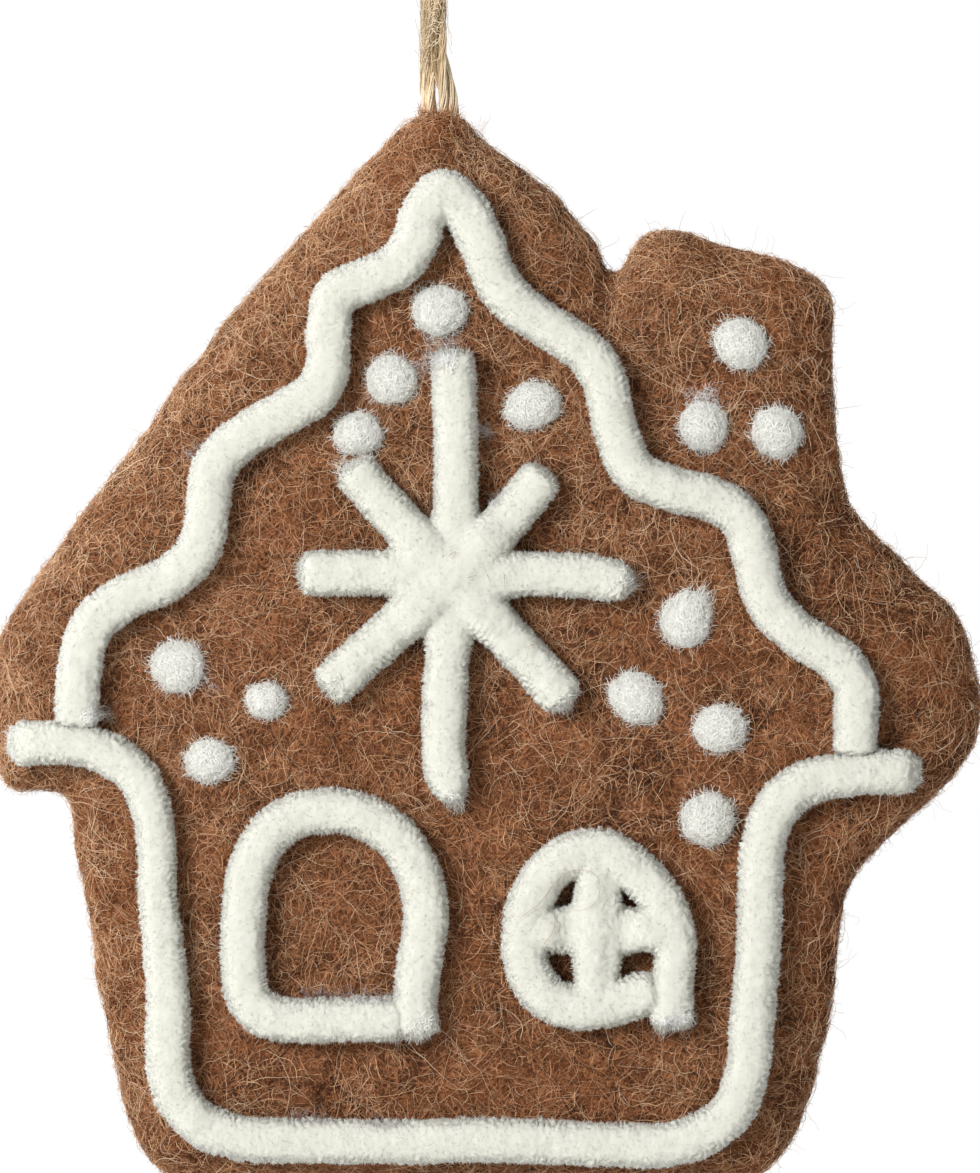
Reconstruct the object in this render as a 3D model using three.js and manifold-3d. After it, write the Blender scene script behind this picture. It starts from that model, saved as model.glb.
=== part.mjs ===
// A hanging ornament in the shape of a gingerbread house: a plump wool-felt body over a wadding core,
// icing lines of chenille cord on a twisted core, sugar dots of needled white wool, and a loop of twine
// felted into the peak.
// Millimetres. +X to the right, +Z up, and the decorated front faces -Y.
// The origin is where the loop hangs: the inside of its top bend.
import * as THREE from 'three';
import { mergeVertices } from 'three/addons/utils/BufferGeometryUtils.js';
import Module from 'manifold-3d';

const wasm = await Module();
wasm.setup();

// House body.
const houseWidth = 112;
const houseHeight = 121;
const frontShoulder = 5.4;
const frontCrown = 1.3;
const backDepth = 5.6;
const rimRun = 6.4;
const crownRun = 22;
const skinThickness = 2.6;

// Clearance between pieces that lie on or in each other, and of the wadding in its felt.
const fit = 0.3;
const waddingFit = 0.5;

// Chenille cord of the icing: its pile, and the twisted core that the pile is caught in.
const cordWidth = 4.8;
const cordHeight = 4.4;
const cordEndRound = 0.9;
const coreWidth = 0.7;
const coreClearance = 0.2;

// Where cords cross they are pressed flat and lie on each other in layers.
const starLayer = 1.6;
const starReach = 8.4;
const windowLayer = 2.2;
const windowReach = 5.2;
const pressedSpread = 0.7;

// Sugar dots.
const dotHeight = 1.9;

// Twine: its loop outside, and its knotted tail in the core.
const twineWidth = 1.75;
const loopDrop = 64;
const legSpacing = 2.16;
const tailDepth = 13;
const knotWidth = 5.2;
const knotDepth = 3.4;
const knotHeight = 4.4;

// The flat picture of the house, read by eye: places are counted across and down in pixels, and these
// four extremes tie them to the house's width and height.
const leftTipPixel = -8;
const rightTipPixel = 979;
const peakPixel = 112;
const sillPixel = 1181;
const twinePixel = 438.5;
const middlePixels = [450, 650];

const outlinePixels = [
  [441, 112], [460, 116], [480, 139], [520, 167], [556, 194], [590, 233], [616, 262], [628, 250],
  [642, 235], [668, 231], [705, 239], [750, 252], [800, 268], [824, 284], [832, 306], [830, 365],
  [836, 440], [847, 500], [876, 535], [925, 580], [956, 612], [972, 652], [979, 704], [968, 756],
  [930, 800], [880, 846], [850, 884], [839, 925], [834, 975], [824, 1040], [808, 1102], [786, 1150],
  [752, 1174], [700, 1180], [450, 1181], [220, 1181], [170, 1176], [142, 1150], [124, 1095],
  [104, 1015], [92, 930], [78, 845], [70, 800], [56, 790], [10, 788], [-2, 768], [-8, 705],
  [-3, 650], [12, 614], [60, 546], [150, 424], [244, 300], [330, 205], [376, 152], [412, 121],
];

const roofPixels = [
  [79, 722], [80, 680], [86, 642], [99, 615], [128, 594], [164, 580], [190, 560], [204, 535],
  [209, 500], [213, 475], [228, 450], [262, 427], [296, 410], [318, 394], [328, 368], [328, 320],
  [338, 296], [366, 280], [396, 265], [413, 244], [423, 215], [442, 195], [464, 209], [480, 240],
  [496, 277], [524, 305], [562, 330], [596, 358], [609, 388], [619, 432], [636, 472], [672, 489],
  [712, 498], [742, 518], [756, 554], [771, 599], [800, 629], [836, 655], [855, 684], [856, 714],
  [855, 750],
];

const wallPixels = [
  [7, 742], [40, 741], [80, 745], [112, 757], [137, 778], [150, 802], [158, 842], [160, 900],
  [166, 955], [169, 1010], [169, 1058], [178, 1092], [200, 1120], [238, 1137], [290, 1141],
  [400, 1140], [520, 1140], [620, 1141], [668, 1139], [702, 1127], [732, 1103], [748, 1068],
  [754, 1018], [759, 950], [761, 885], [764, 844], [778, 806], [806, 784], [845, 776], [885, 773],
  [916, 772],
];

const doorPixels = [
  [405, 1020], [340, 1021], [290, 1020], [262, 1012], [248, 992], [243, 955], [243, 915],
  [249, 868], [266, 834], [295, 814], [328, 809], [364, 814], [394, 831], [414, 856], [424, 888],
  [426, 920], [422, 958], [419, 996], [418, 1034],
];

const windowPixels = [
  [672, 1024], [674, 980], [675, 940], [666, 902], [648, 872], [624, 854], [598, 848], [570, 853],
  [545, 870], [530, 898], [524, 935], [528, 968], [544, 992], [570, 1004], [600, 1004],
  [628, 1000], [660, 990],
];
const windowCrossPixels = [596, 928];
const windowBarPixels = {
  window_cross_bar: [[526, 928], [596, 928], [675, 928]],
  window_upright_bar: [[596, 1004], [596, 928], [597, 848]],
};

const starCentrePixels = [452, 577];
const starPixels = {
  star_upright: [
    [455, 353], [457, 440], [456, 511], [452, 577], [448, 639], [444, 700], [443, 765], [449, 797],
  ],
  star_cross: [[302, 573], [380, 573], [452, 576], [540, 574], [590, 575], [630, 580]],
  star_diagonal_a: [[353, 466], [400, 520], [452, 578], [495, 624], [535, 668], [566, 702]],
  star_diagonal_b: [[546, 474], [500, 526], [452, 576], [400, 622], [360, 655], [326, 688]],
};

// Each sugar dot: how far across, how far down, and its radius.
const dotPixels = [
  [440, 312, 28], [392, 380, 26], [358, 435, 24], [531, 407, 28], [739, 345, 27], [702, 423, 25],
  [773, 432, 26], [685, 617, 27], [635, 697, 28], [718, 727, 26], [706, 819, 28], [180, 666, 28],
  [268, 699, 20], [210, 760, 25],
];

// The twine's route from the left leg's exit round the loop and back, as it hangs.
const twineRoute = [
  [-1.08, 0, -62.825], [-1.1, 0.1, -59], [-1.2, 0.5, -55], [-1.3, 0.8, -51], [-1.2, 0.85, -46],
  [-1, 0.9, -40], [-0.9, 0.95, -33], [-1, 0.95, -26], [-1.3, 0.9, -20], [-2.1, 0.7, -14],
  [-3.2, 0.4, -8.5], [-3.85, 0.1, -4], [-2.9, 0, -0.5], [0, 0, 0.875], [2.9, 0, -0.5],
  [3.85, -0.1, -4], [3.2, -0.4, -8.5], [2, -0.7, -14], [1.1, -0.9, -20], [0.7, -0.95, -26],
  [0.5, -0.95, -33], [0.4, -0.9, -40], [0.2, -0.85, -46], [0.06, -0.8, -51], [0.5, -0.5, -55],
  [0.95, -0.1, -59], [1.08, 0, -62.825],
];

// A sugar dot's outline from its underside to its top, in shares of its radius and its height.
const dotProfileShares = [[0.9, 0], [1, 0.35], [0.78, 0.75], [0.42, 0.96]];

// How much of its section a cord keeps at a cut end, how much of a press's reach is pressed flat, and how
// much of a ring of cord its other end may butt against.
const cordEndShare = 0.74;
const fullPressShare = 0.6;
const meetingShare = 0.25;

// How finely curves are cut into flat faces.
const outlineSteps = 2;
const pileSides = 8;
const coreSides = 4;
const dotSides = 12;
const routeSteps = 480;
const mostTurn = THREE.MathUtils.degToRad(24);
const mostRun = 1.4 * cordWidth;
const mostPressShare = 0.3;
const mostFall = 0.35 * frontCrown;
const outerRimSteps = 5;
const innerRimSteps = 3;
const twineSteps = 64;
const rayShareStep = 0.01;
const bisections = 12;

const felt = new THREE.MeshStandardMaterial({ color: '#84502f', roughness: 0.95, metalness: 0 });
const wadding = new THREE.MeshStandardMaterial({ color: '#cdbfa6', roughness: 1, metalness: 0 });
const pile = new THREE.MeshStandardMaterial({ color: '#f1f1e6', roughness: 0.9, metalness: 0 });
const binding = new THREE.MeshStandardMaterial({ color: '#dedccf', roughness: 0.85, metalness: 0 });
const sugar = new THREE.MeshStandardMaterial({ color: '#e6eaea', roughness: 0.95, metalness: 0 });
const jute = new THREE.MeshStandardMaterial({ color: '#b08f60', roughness: 0.9, metalness: 0 });

const house = new THREE.Group();

// A piece of the picture, brought to its size.
const widthPerPixel = houseWidth / (rightTipPixel - leftTipPixel);
const heightPerPixel = houseHeight / (sillPixel - peakPixel);
const peakHeight = -loopDrop;
const across = (pixel) => (pixel - twinePixel) * widthPerPixel;
const up = (pixel) => peakHeight + (peakPixel - pixel) * heightPerPixel;
const place = ([pixelAcross, pixelDown]) => new THREE.Vector3(across(pixelAcross), 0, up(pixelDown));
const route = (pixels) => new THREE.CatmullRomCurve3(pixels.map(place), false, 'centripetal');

// Closed solids from rings of points. Neighbouring rings have the same count, or one has twice the other's.
function joinRings(a, b) {
  if (a.length < b.length) {
    return joinRings(b, a).map(([p, q, r]) => [p, r, q]);
  }
  const faces = [];
  for (let j = 0; j < b.length; j++) {
    const here = b[j];
    const next = b[(j + 1) % b.length];
    if (a.length === b.length) {
      faces.push([a[j], a[(j + 1) % a.length], next]);
      faces.push([a[j], next, here]);
    } else {
      const middle = a[2 * j + 1];
      faces.push([a[2 * j], middle, here]);
      faces.push([middle, next, here]);
      faces.push([middle, a[(2 * j + 2) % a.length], next]);
    }
  }
  return faces;
}

// With a start and an end point the rings close as a bag does, and without them as a hoop does.
function solidFromRings(rings, start, end) {
  const points = [];
  const add = (point) => points.push(point) - 1;
  const numbered = rings.map((ring) => ring.map(add));
  const faces = [];
  for (let k = 0; k + 1 < numbered.length; k++) {
    faces.push(...joinRings(numbered[k], numbered[k + 1]));
  }
  const first = numbered[0];
  const last = numbered[numbered.length - 1];
  if (start && end) {
    const startIndex = add(start);
    const endIndex = add(end);
    first.forEach((v, j) => faces.push([startIndex, first[(j + 1) % first.length], v]));
    last.forEach((v, j) => faces.push([endIndex, v, last[(j + 1) % last.length]]));
  } else {
    faces.push(...joinRings(last, first));
  }
  return facingOut(points, faces);
}

function facingOut(points, faces) {
  const corner = new THREE.Vector3();
  const sixVolumes = faces.reduce(
    (sum, [a, b, c]) => sum + points[a].dot(corner.crossVectors(points[b], points[c])), 0,
  );
  const outward = sixVolumes > 0 ? faces : faces.map(([a, b, c]) => [a, c, b]);
  const geometry = new THREE.BufferGeometry();
  geometry.setAttribute('position', new THREE.Float32BufferAttribute(points.flatMap((p) => p.toArray()), 3));
  geometry.setIndex(outward.flat());
  return geometry;
}

// Cuts and joins.
function toManifold(geometry) {
  const bare = geometry.clone();
  bare.deleteAttribute('normal');
  bare.deleteAttribute('uv');
  const merged = mergeVertices(bare);
  return new wasm.Manifold(new wasm.Mesh({
    numProp: 3,
    vertProperties: new Float32Array(merged.attributes.position.array),
    triVerts: new Uint32Array(merged.index.array),
  }));
}

function toGeometry(manifold) {
  const { vertProperties, triVerts } = manifold.getMesh();
  const geometry = new THREE.BufferGeometry();
  geometry.setAttribute('position', new THREE.BufferAttribute(vertProperties, 3));
  geometry.setIndex(new THREE.BufferAttribute(triVerts, 1));
  return geometry;
}

const cut = (geometry, ...cutters) => toGeometry(
  cutters.reduce((solid, cutter) => solid.subtract(toManifold(cutter)), toManifold(geometry)),
);
const join = (geometry, ...others) => toGeometry(
  others.reduce((solid, other) => solid.add(toManifold(other)), toManifold(geometry)),
);

function addPiece(name, geometry, material) {
  const mesh = new THREE.Mesh(geometry, material);
  mesh.name = name;
  house.add(mesh);
}

// The outline, and how far inside it a place lies.
const outline = new THREE.CatmullRomCurve3(outlinePixels.map(place), true, 'centripetal')
  .getPoints(outlinePixels.length * outlineSteps)
  .slice(0, -1);
const middle = place(middlePixels);

function insideDistance(point) {
  const foot = new THREE.Vector3();
  const edge = new THREE.Line3();
  return outline.reduce((least, corner, j) => {
    edge.set(corner, outline[(j + 1) % outline.length]);
    edge.closestPointToPoint(point, true, foot);
    return Math.min(least, foot.distanceTo(point));
  }, Infinity);
}

// Walking in from an outline corner to the middle, the first place that lies this far inside.
function placeInside(corner, distance) {
  const point = new THREE.Vector3();
  let outer = 0;
  let inner = rayShareStep;
  while (inner < 1 && insideDistance(point.lerpVectors(corner, middle, inner)) < distance) {
    outer = inner;
    inner += rayShareStep;
  }
  for (let n = 0; n < bisections; n++) {
    const half = (outer + inner) / 2;
    const near = insideDistance(point.lerpVectors(corner, middle, half)) < distance;
    outer = near ? half : outer;
    inner = near ? inner : half;
  }
  return point.lerpVectors(corner, middle, inner).clone();
}

// A pillow face: a rounded rim, then a slow crown. The inset is how far this layer lies under the outside.
function pillowDepth(distance, shoulder, crown, inset) {
  const rim = rimRun - inset;
  const climb = 1 - Math.min(Math.max(distance - inset, 0) / rim, 1);
  return (shoulder - inset) * Math.sqrt(1 - climb * climb)
    + crown * THREE.MathUtils.smoothstep(distance, inset, crownRun);
}

const frontDepth = (point) => pillowDepth(insideDistance(point), frontShoulder, frontCrown, 0);

// The rings of a pillow face from its middle out to the parting plane. Facing is -1 for the front and 1
// for the back.
function pillowRings(facing, shoulder, crown, inset, rimAngles, stride) {
  const corners = outline.filter((corner, j) => j % stride === 0);
  const distances = rimAngles.map((angle) => inset + (rimRun - inset) * (1 - Math.cos(angle)));
  if (crown > 0) {
    distances.unshift(crownRun, (rimRun + crownRun) / 2);
  }
  return distances.map((distance) => corners.map((corner) => {
    const point = distance > 0 ? placeInside(corner, distance) : corner.clone();
    point.y = facing * pillowDepth(distance, shoulder, crown, inset);
    return point;
  }));
}

const rightAngle = Math.PI / 2;
const anglesDown = (count) => Array.from({ length: count + 1 }, (unused, k) => rightAngle * (1 - k / count));
const outerAngles = anglesDown(outerRimSteps);
const innerAngles = anglesDown(innerRimSteps);

function pillowMiddle(facing, shoulder, crown, inset) {
  return middle.clone().setY(facing * (shoulder - inset + crown));
}

// One half of the felt: a dish that ends flat at the parting plane.
function feltDish(facing, shoulder, crown) {
  const outside = pillowRings(facing, shoulder, crown, 0, outerAngles, 1);
  const inside = pillowRings(facing, shoulder, crown, skinThickness, innerAngles, 2);
  return solidFromRings(
    [...outside, ...inside.reverse()],
    pillowMiddle(facing, shoulder, crown, 0),
    pillowMiddle(facing, shoulder, crown, skinThickness),
  );
}

function wadCore() {
  const inset = skinThickness + waddingFit;
  const front = pillowRings(-1, frontShoulder, frontCrown, inset, innerAngles, 2);
  const back = pillowRings(1, backDepth, 0, inset, innerAngles, 2);
  return solidFromRings(
    [...front, ...back.reverse().slice(1)],
    pillowMiddle(-1, frontShoulder, frontCrown, inset),
    pillowMiddle(1, backDepth, 0, inset),
  );
}

// The twine's tail: two legs side by side down to a knot.
const twineRadius = twineWidth / 2;
const knotPlace = new THREE.Vector3(0, 0, peakHeight - tailDepth);

function upright(radius, low, high, x) {
  const geometry = new THREE.CylinderGeometry(radius, radius, high - low, pileSides);
  return geometry.rotateX(rightAngle).translate(x, 0, (low + high) / 2);
}

function knot(spare) {
  return new THREE.SphereGeometry(1, dotSides, pileSides)
    .scale(knotWidth / 2 + spare, knotDepth / 2 + spare, knotHeight / 2 + spare)
    .translate(knotPlace.x, knotPlace.y, knotPlace.z);
}

const legPlaces = [-legSpacing / 2, legSpacing / 2];
const tailBores = legPlaces.map((x) => upright(twineRadius + fit, knotPlace.z, peakHeight + twineWidth, x));

function twineTail() {
  return join(knot(0), ...legPlaces.map((x) => upright(twineRadius, knotPlace.z, peakHeight, x)));
}

function twineLoop() {
  const points = twineRoute.map(([x, y, z]) => new THREE.Vector3(x, y, z));
  const line = new THREE.CatmullRomCurve3(points, false, 'centripetal');
  const section = new THREE.Shape(Array.from({ length: pileSides }, (unused, j) => {
    const angle = (2 * Math.PI * j) / pileSides;
    return new THREE.Vector2(twineRadius * Math.cos(angle), twineRadius * Math.sin(angle));
  }));
  const tube = new THREE.ExtrudeGeometry(section, {
    steps: twineSteps,
    bevelEnabled: false,
    extrudePath: line,
  });
  const ends = [points[0], points[points.length - 1]].map(({ x, y, z }) => (
    new THREE.SphereGeometry(twineRadius, pileSides, pileSides / 2).translate(x, y, z)
  ));
  return join(tube, ...ends);
}

addPiece('front_felt', cut(feltDish(-1, frontShoulder, frontCrown), ...tailBores), felt);
addPiece('back_felt', cut(feltDish(1, backDepth, 0), ...tailBores), felt);
addPiece('wool_core', cut(wadCore(), knot(fit), ...tailBores), wadding);
addPiece('twine_tail', twineTail(), jute);
addPiece('twine_loop', twineLoop(), jute);

// Icing cords. A press says where a cord is flattened and lifted: its centre, how far the pressing
// reaches, how thin the cord is there, and which layer it is.
function pressedShare(point, press) {
  if (!press) {
    return 0;
  }
  const distance = point.distanceTo(press.centre);
  return 1 - THREE.MathUtils.smoothstep(distance, press.reach * fullPressShare, press.reach);
}

function sectionAt(point, press) {
  const share = pressedShare(point, press);
  const { layer, thickness } = press ?? { layer: 0, thickness: cordHeight };
  return {
    width: cordWidth + pressedSpread * share,
    height: THREE.MathUtils.lerp(cordHeight, thickness, share),
    lift: layer * (thickness + fit) * share,
  };
}

// Stations along a route: close together in bends and where the cord is pressed, far apart on straight runs.
function stationsAlong(line, press) {
  const length = line.getLength();
  const firstShare = cordEndRound / length;
  const stations = [{ share: 0, swell: cordEndShare }, { share: firstShare, swell: 1 }];
  let turn = 0;
  let run = 0;
  let lastTangent = line.getTangentAt(firstShare);
  let lastPressed = 0;
  let lastSeat = frontDepth(line.getPointAt(firstShare));
  for (let share = 2 * firstShare; share < 1 - 2 * firstShare; share += 1 / routeSteps) {
    const point = line.getPointAt(share);
    const tangent = line.getTangentAt(share);
    turn += tangent.angleTo(lastTangent);
    run += length / routeSteps;
    lastTangent = tangent;
    const pressed = pressedShare(point, press);
    const seat = frontDepth(point);
    const bends = turn > mostTurn || run > mostRun || Math.abs(seat - lastSeat) > mostFall;
    const flattens = Math.abs(pressed - lastPressed) > mostPressShare;
    const levels = (pressed === 1) !== (lastPressed === 1);
    if (bends || flattens || levels) {
      stations.push({ share, swell: 1 });
      turn = 0;
      run = 0;
      lastPressed = pressed;
      lastSeat = seat;
    }
  }
  stations.push({ share: 1 - firstShare, swell: 1 }, { share: 1, swell: cordEndShare });
  return stations;
}

// One ring of pile. Its underside follows the felt, and its top keeps the height over the centreline.
function pileRing(line, { share, swell }, press) {
  const centre = line.getPointAt(share);
  const tangent = line.getTangentAt(share);
  const { width, height, lift } = sectionAt(centre, press);
  const reach = 1 / Math.cos(Math.PI / pileSides);
  return Array.from({ length: pileSides }, (unused, j) => {
    const angle = (2 * Math.PI * (j + 1 / 2)) / pileSides;
    const aside = (swell * width * reach * Math.cos(angle)) / 2;
    const rise = reach * Math.sin(angle);
    const point = new THREE.Vector3(centre.x - tangent.z * aside, 0, centre.z + tangent.x * aside);
    const seat = THREE.MathUtils.lerp(frontDepth(centre), frontDepth(point), (1 - rise) / 2);
    point.y = -(seat + fit + lift + (swell * height * (1 + rise)) / 2);
    return point;
  });
}

// One ring of the core, or of the bore that it lies in.
function coreRing(line, { share, swell }, press, width) {
  const centre = line.getPointAt(share);
  const tangent = line.getTangentAt(share);
  const { height, lift } = sectionAt(centre, press);
  const axis = frontDepth(centre) + fit + lift + (swell * height) / 2;
  return Array.from({ length: coreSides }, (unused, j) => {
    const angle = (2 * Math.PI * (j + 1 / 2)) / coreSides;
    const aside = (width / 2) * Math.cos(angle);
    const depth = -(axis + (width / 2) * Math.sin(angle));
    return new THREE.Vector3(centre.x - tangent.z * aside, depth, centre.z + tangent.x * aside);
  });
}

function addCord(name, line, press) {
  const stations = stationsAlong(line, press);
  const outside = stations.map((station) => pileRing(line, station, press));
  const boreWidth = coreWidth + 2 * coreClearance;
  const bore = stations.map((station) => coreRing(line, station, press, boreWidth));
  addPiece(`${name}_pile`, solidFromRings([...outside, ...bore.reverse()]), pile);

  const core = stations.slice(1, -1).map((station) => coreRing(line, station, press, coreWidth));
  const [start, end] = [core[0], core[core.length - 1]].map(
    (ring) => new THREE.Vector3().lerpVectors(ring[0], ring[coreSides / 2], 1 / 2),
  );
  addPiece(`${name}_core`, solidFromRings(core, start, end), binding);
}

// A cord that ends against something is cut back until the corners of its end, and of the shoulder behind
// it, are clear. Each obstacle is a point and how near a cord may come to it.
class Stretch extends THREE.Curve {
  constructor(line, from, to) {
    super();
    this.line = line;
    this.from = from;
    this.to = to;
  }

  getPoint(share, target) {
    return this.line.getPointAt(THREE.MathUtils.lerp(this.from, this.to, share), target);
  }
}

function endIsClear(point, outward, obstacles) {
  const aside = new THREE.Vector3(-outward.z, 0, outward.x).multiplyScalar(cordWidth / 2);
  const shoulder = point.clone().addScaledVector(outward, -cordEndRound);
  const corners = [1, -1].flatMap((side) => [
    point.clone().addScaledVector(aside, side * cordEndShare),
    shoulder.clone().addScaledVector(aside, side),
  ]);
  return obstacles.every(
    ({ centre, reach }) => corners.every((corner) => corner.distanceTo(centre) > reach),
  );
}

function cutBack(line, startObstacles, endObstacles) {
  const step = 1 / routeSteps;
  let from = 0;
  while (!endIsClear(line.getPointAt(from), line.getTangentAt(from).negate(), startObstacles)) {
    from += step;
  }
  let to = 1;
  while (!endIsClear(line.getPointAt(to), line.getTangentAt(to), endObstacles)) {
    to -= step;
  }
  return new Stretch(line, from, to);
}

// The side of a cord between two shares of its length, as obstacles.
function cordSide(line, from, to) {
  return Array.from({ length: routeSteps + 1 }, (unused, n) => ({
    centre: line.getPointAt(THREE.MathUtils.lerp(from, to, n / routeSteps)),
    reach: cordWidth / 2 + fit,
  }));
}

const dotObstacle = ([pixelAcross, pixelDown, pixelRadius]) => ({
  centre: place([pixelAcross, pixelDown]),
  reach: pixelRadius * widthPerPixel + fit,
});

const wallLine = route(wallPixels);
const roofLine = route(roofPixels);
const doorLine = route(doorPixels);
const windowLine = route(windowPixels);
const wallSide = cordSide(wallLine, 0, 1);
const doorSide = cordSide(doorLine, 1 - meetingShare, 1);
const windowSide = cordSide(windowLine, 0, meetingShare);

addCord('wall_icing', wallLine);
addCord('roof_icing', cutBack(roofLine, wallSide, wallSide));
addCord('door_icing', cutBack(doorLine, doorSide, []));
addCord('window_icing', cutBack(windowLine, [], windowSide));

// The window's bars end against its frame, and the upright bar lies over the cross bar.
const frameSide = cordSide(windowLine, 0, 1);
Object.entries(windowBarPixels).forEach(([name, pixels], layer) => {
  const press = { centre: place(windowCrossPixels), reach: windowReach, thickness: windowLayer, layer };
  addCord(name, cutBack(route(pixels), frameSide, frameSide), press);
});

// The star's four cords lie on each other at its centre, the upright lowest.
const dotObstacles = dotPixels.map(dotObstacle);
Object.entries(starPixels).forEach(([name, pixels], layer) => {
  const press = { centre: place(starCentrePixels), reach: starReach, thickness: starLayer, layer };
  addCord(name, cutBack(route(pixels), dotObstacles, dotObstacles), press);
});

// Sugar dots: low domes whose undersides follow the felt.
function dotRing(centre, radius, height) {
  return Array.from({ length: dotSides }, (unused, j) => {
    const angle = (2 * Math.PI * j) / dotSides;
    const point = new THREE.Vector3(radius * Math.cos(angle), 0, radius * Math.sin(angle)).add(centre);
    point.y = -(frontDepth(point) + fit + height);
    return point;
  });
}

function sugarDot([pixelAcross, pixelDown, pixelRadius]) {
  const centre = place([pixelAcross, pixelDown]);
  const radius = pixelRadius * widthPerPixel;
  const rings = dotProfileShares.map(
    ([radiusShare, heightShare]) => dotRing(centre, radius * radiusShare, dotHeight * heightShare),
  );
  const low = centre.clone().setY(-(frontDepth(centre) + fit));
  const high = centre.clone().setY(low.y - dotHeight);
  return solidFromRings(rings, low, high);
}

dotPixels.forEach((dot, index) => {
  addPiece(`sugar_dot_${String(index + 1).padStart(2, '0')}`, sugarDot(dot), sugar);
});

export default house;
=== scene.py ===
# %% [markdown]
# # A felt gingerbread house on a loop of twine
#
# The real ornament is a plump house shape of brown felted wool. Ivory chenille cord is glued on as icing,
# small dots of white wool are needled on as sugar, and a loop of twine is felted into the peak.
#
# A CAD model of it already exists. It says how big every piece is and where it lies, and nothing here
# moves it. This script only dresses it: each plain solid is hidden, and a finished mesh takes its place.

import math

import bpy
import numpy as np
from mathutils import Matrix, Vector
from mathutils.bvhtree import BVHTree
from mathutils.kdtree import KDTree


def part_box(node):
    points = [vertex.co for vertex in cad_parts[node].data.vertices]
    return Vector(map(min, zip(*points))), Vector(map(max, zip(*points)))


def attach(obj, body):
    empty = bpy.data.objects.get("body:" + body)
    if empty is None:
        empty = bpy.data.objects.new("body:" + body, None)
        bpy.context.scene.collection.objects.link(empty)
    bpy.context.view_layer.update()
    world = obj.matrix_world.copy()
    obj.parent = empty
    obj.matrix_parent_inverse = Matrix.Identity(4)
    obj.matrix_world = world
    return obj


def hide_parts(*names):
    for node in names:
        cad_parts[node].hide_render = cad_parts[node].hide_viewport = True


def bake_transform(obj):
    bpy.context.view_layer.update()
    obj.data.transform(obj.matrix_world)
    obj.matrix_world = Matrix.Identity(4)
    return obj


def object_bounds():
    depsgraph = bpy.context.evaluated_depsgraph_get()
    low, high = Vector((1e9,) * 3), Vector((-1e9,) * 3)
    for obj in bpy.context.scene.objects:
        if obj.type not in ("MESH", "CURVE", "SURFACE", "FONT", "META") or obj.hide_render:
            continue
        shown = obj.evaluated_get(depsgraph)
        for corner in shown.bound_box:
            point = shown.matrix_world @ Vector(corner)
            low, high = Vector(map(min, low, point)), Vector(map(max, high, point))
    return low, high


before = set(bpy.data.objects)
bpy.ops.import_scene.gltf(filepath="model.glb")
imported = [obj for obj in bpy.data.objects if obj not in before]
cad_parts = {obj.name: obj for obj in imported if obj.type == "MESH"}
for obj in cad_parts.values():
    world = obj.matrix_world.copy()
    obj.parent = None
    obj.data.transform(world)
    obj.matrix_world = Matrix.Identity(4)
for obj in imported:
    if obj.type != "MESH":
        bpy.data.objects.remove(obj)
cad_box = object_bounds()

# %% [markdown]
# ## Places on the house
#
# The photograph looks straight at the flat front, so a place on it is easy to name by its pixel: so many
# across, so many down. Two spans tie pixels to metres. The felt's left and right tips are known in both,
# and so are its peak and its foot. The CAD model was drawn from the same picture, so lines that are named
# this way fall exactly on its solids.

# %% From pixels to metres
MM = 0.001
TOWARDS_VIEWER = np.array([0.0, -1.0, 0.0])
LEFT_TIP_PIXEL = -8
RIGHT_TIP_PIXEL = 979
PEAK_PIXEL = 112
SILL_PIXEL = 1181

felt_low, felt_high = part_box("front_felt")
back_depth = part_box("back_felt")[1].y
peak_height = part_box("twine_tail")[1].z
width_per_pixel = (felt_high.x - felt_low.x) / (RIGHT_TIP_PIXEL - LEFT_TIP_PIXEL)
height_per_pixel = (peak_height - felt_low.z) / (SILL_PIXEL - PEAK_PIXEL)


def place(across, down):
    """X and Z of a pixel of the photograph, on the house's middle plane."""
    x = felt_low.x + (across - LEFT_TIP_PIXEL) * width_per_pixel
    z = peak_height + (PEAK_PIXEL - down) * height_per_pixel
    return x, z


def places(pixels):
    return np.array([place(*pixel) for pixel in pixels])


print("mm per pixel", round(width_per_pixel / MM, 4), round(height_per_pixel / MM, 4))

# %% [markdown]
# ## Camera
#
# The photograph was taken from far away with a long lens: nothing looks nearer than the rest. A lens that
# sees exactly the picture's height at the camera's distance gives the same frame. Blender counts the
# sensor's 36 mm along the longer side, which is the height here.

# %% A long lens, straight on
IMAGE_WIDTH = 980
IMAGE_HEIGHT = 1173
CAMERA_DISTANCE = 1.2

camera_data = bpy.data.cameras.new("camera")
camera_data.sensor_width = 36
camera_data.lens = camera_data.sensor_width * CAMERA_DISTANCE / (IMAGE_HEIGHT * height_per_pixel)
camera = bpy.data.objects.new("camera", camera_data)
aim_x, aim_z = place(IMAGE_WIDTH / 2, IMAGE_HEIGHT / 2)
camera.location = (aim_x, -CAMERA_DISTANCE, aim_z)
camera.rotation_euler = (math.radians(90), 0, 0)
bpy.context.scene.collection.objects.link(camera)
bpy.context.scene.camera = camera
print("lens", round(camera_data.lens), "mm")

# %% [markdown]
# ## Lines
#
# Twine, cords and fibres are all lines with a thickness. Each route is a short list of points, and a
# Catmull-Rom spline runs a smooth line through them. Its centripetal kind never loops or overshoots, and
# the CAD model uses the same one.

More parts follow.
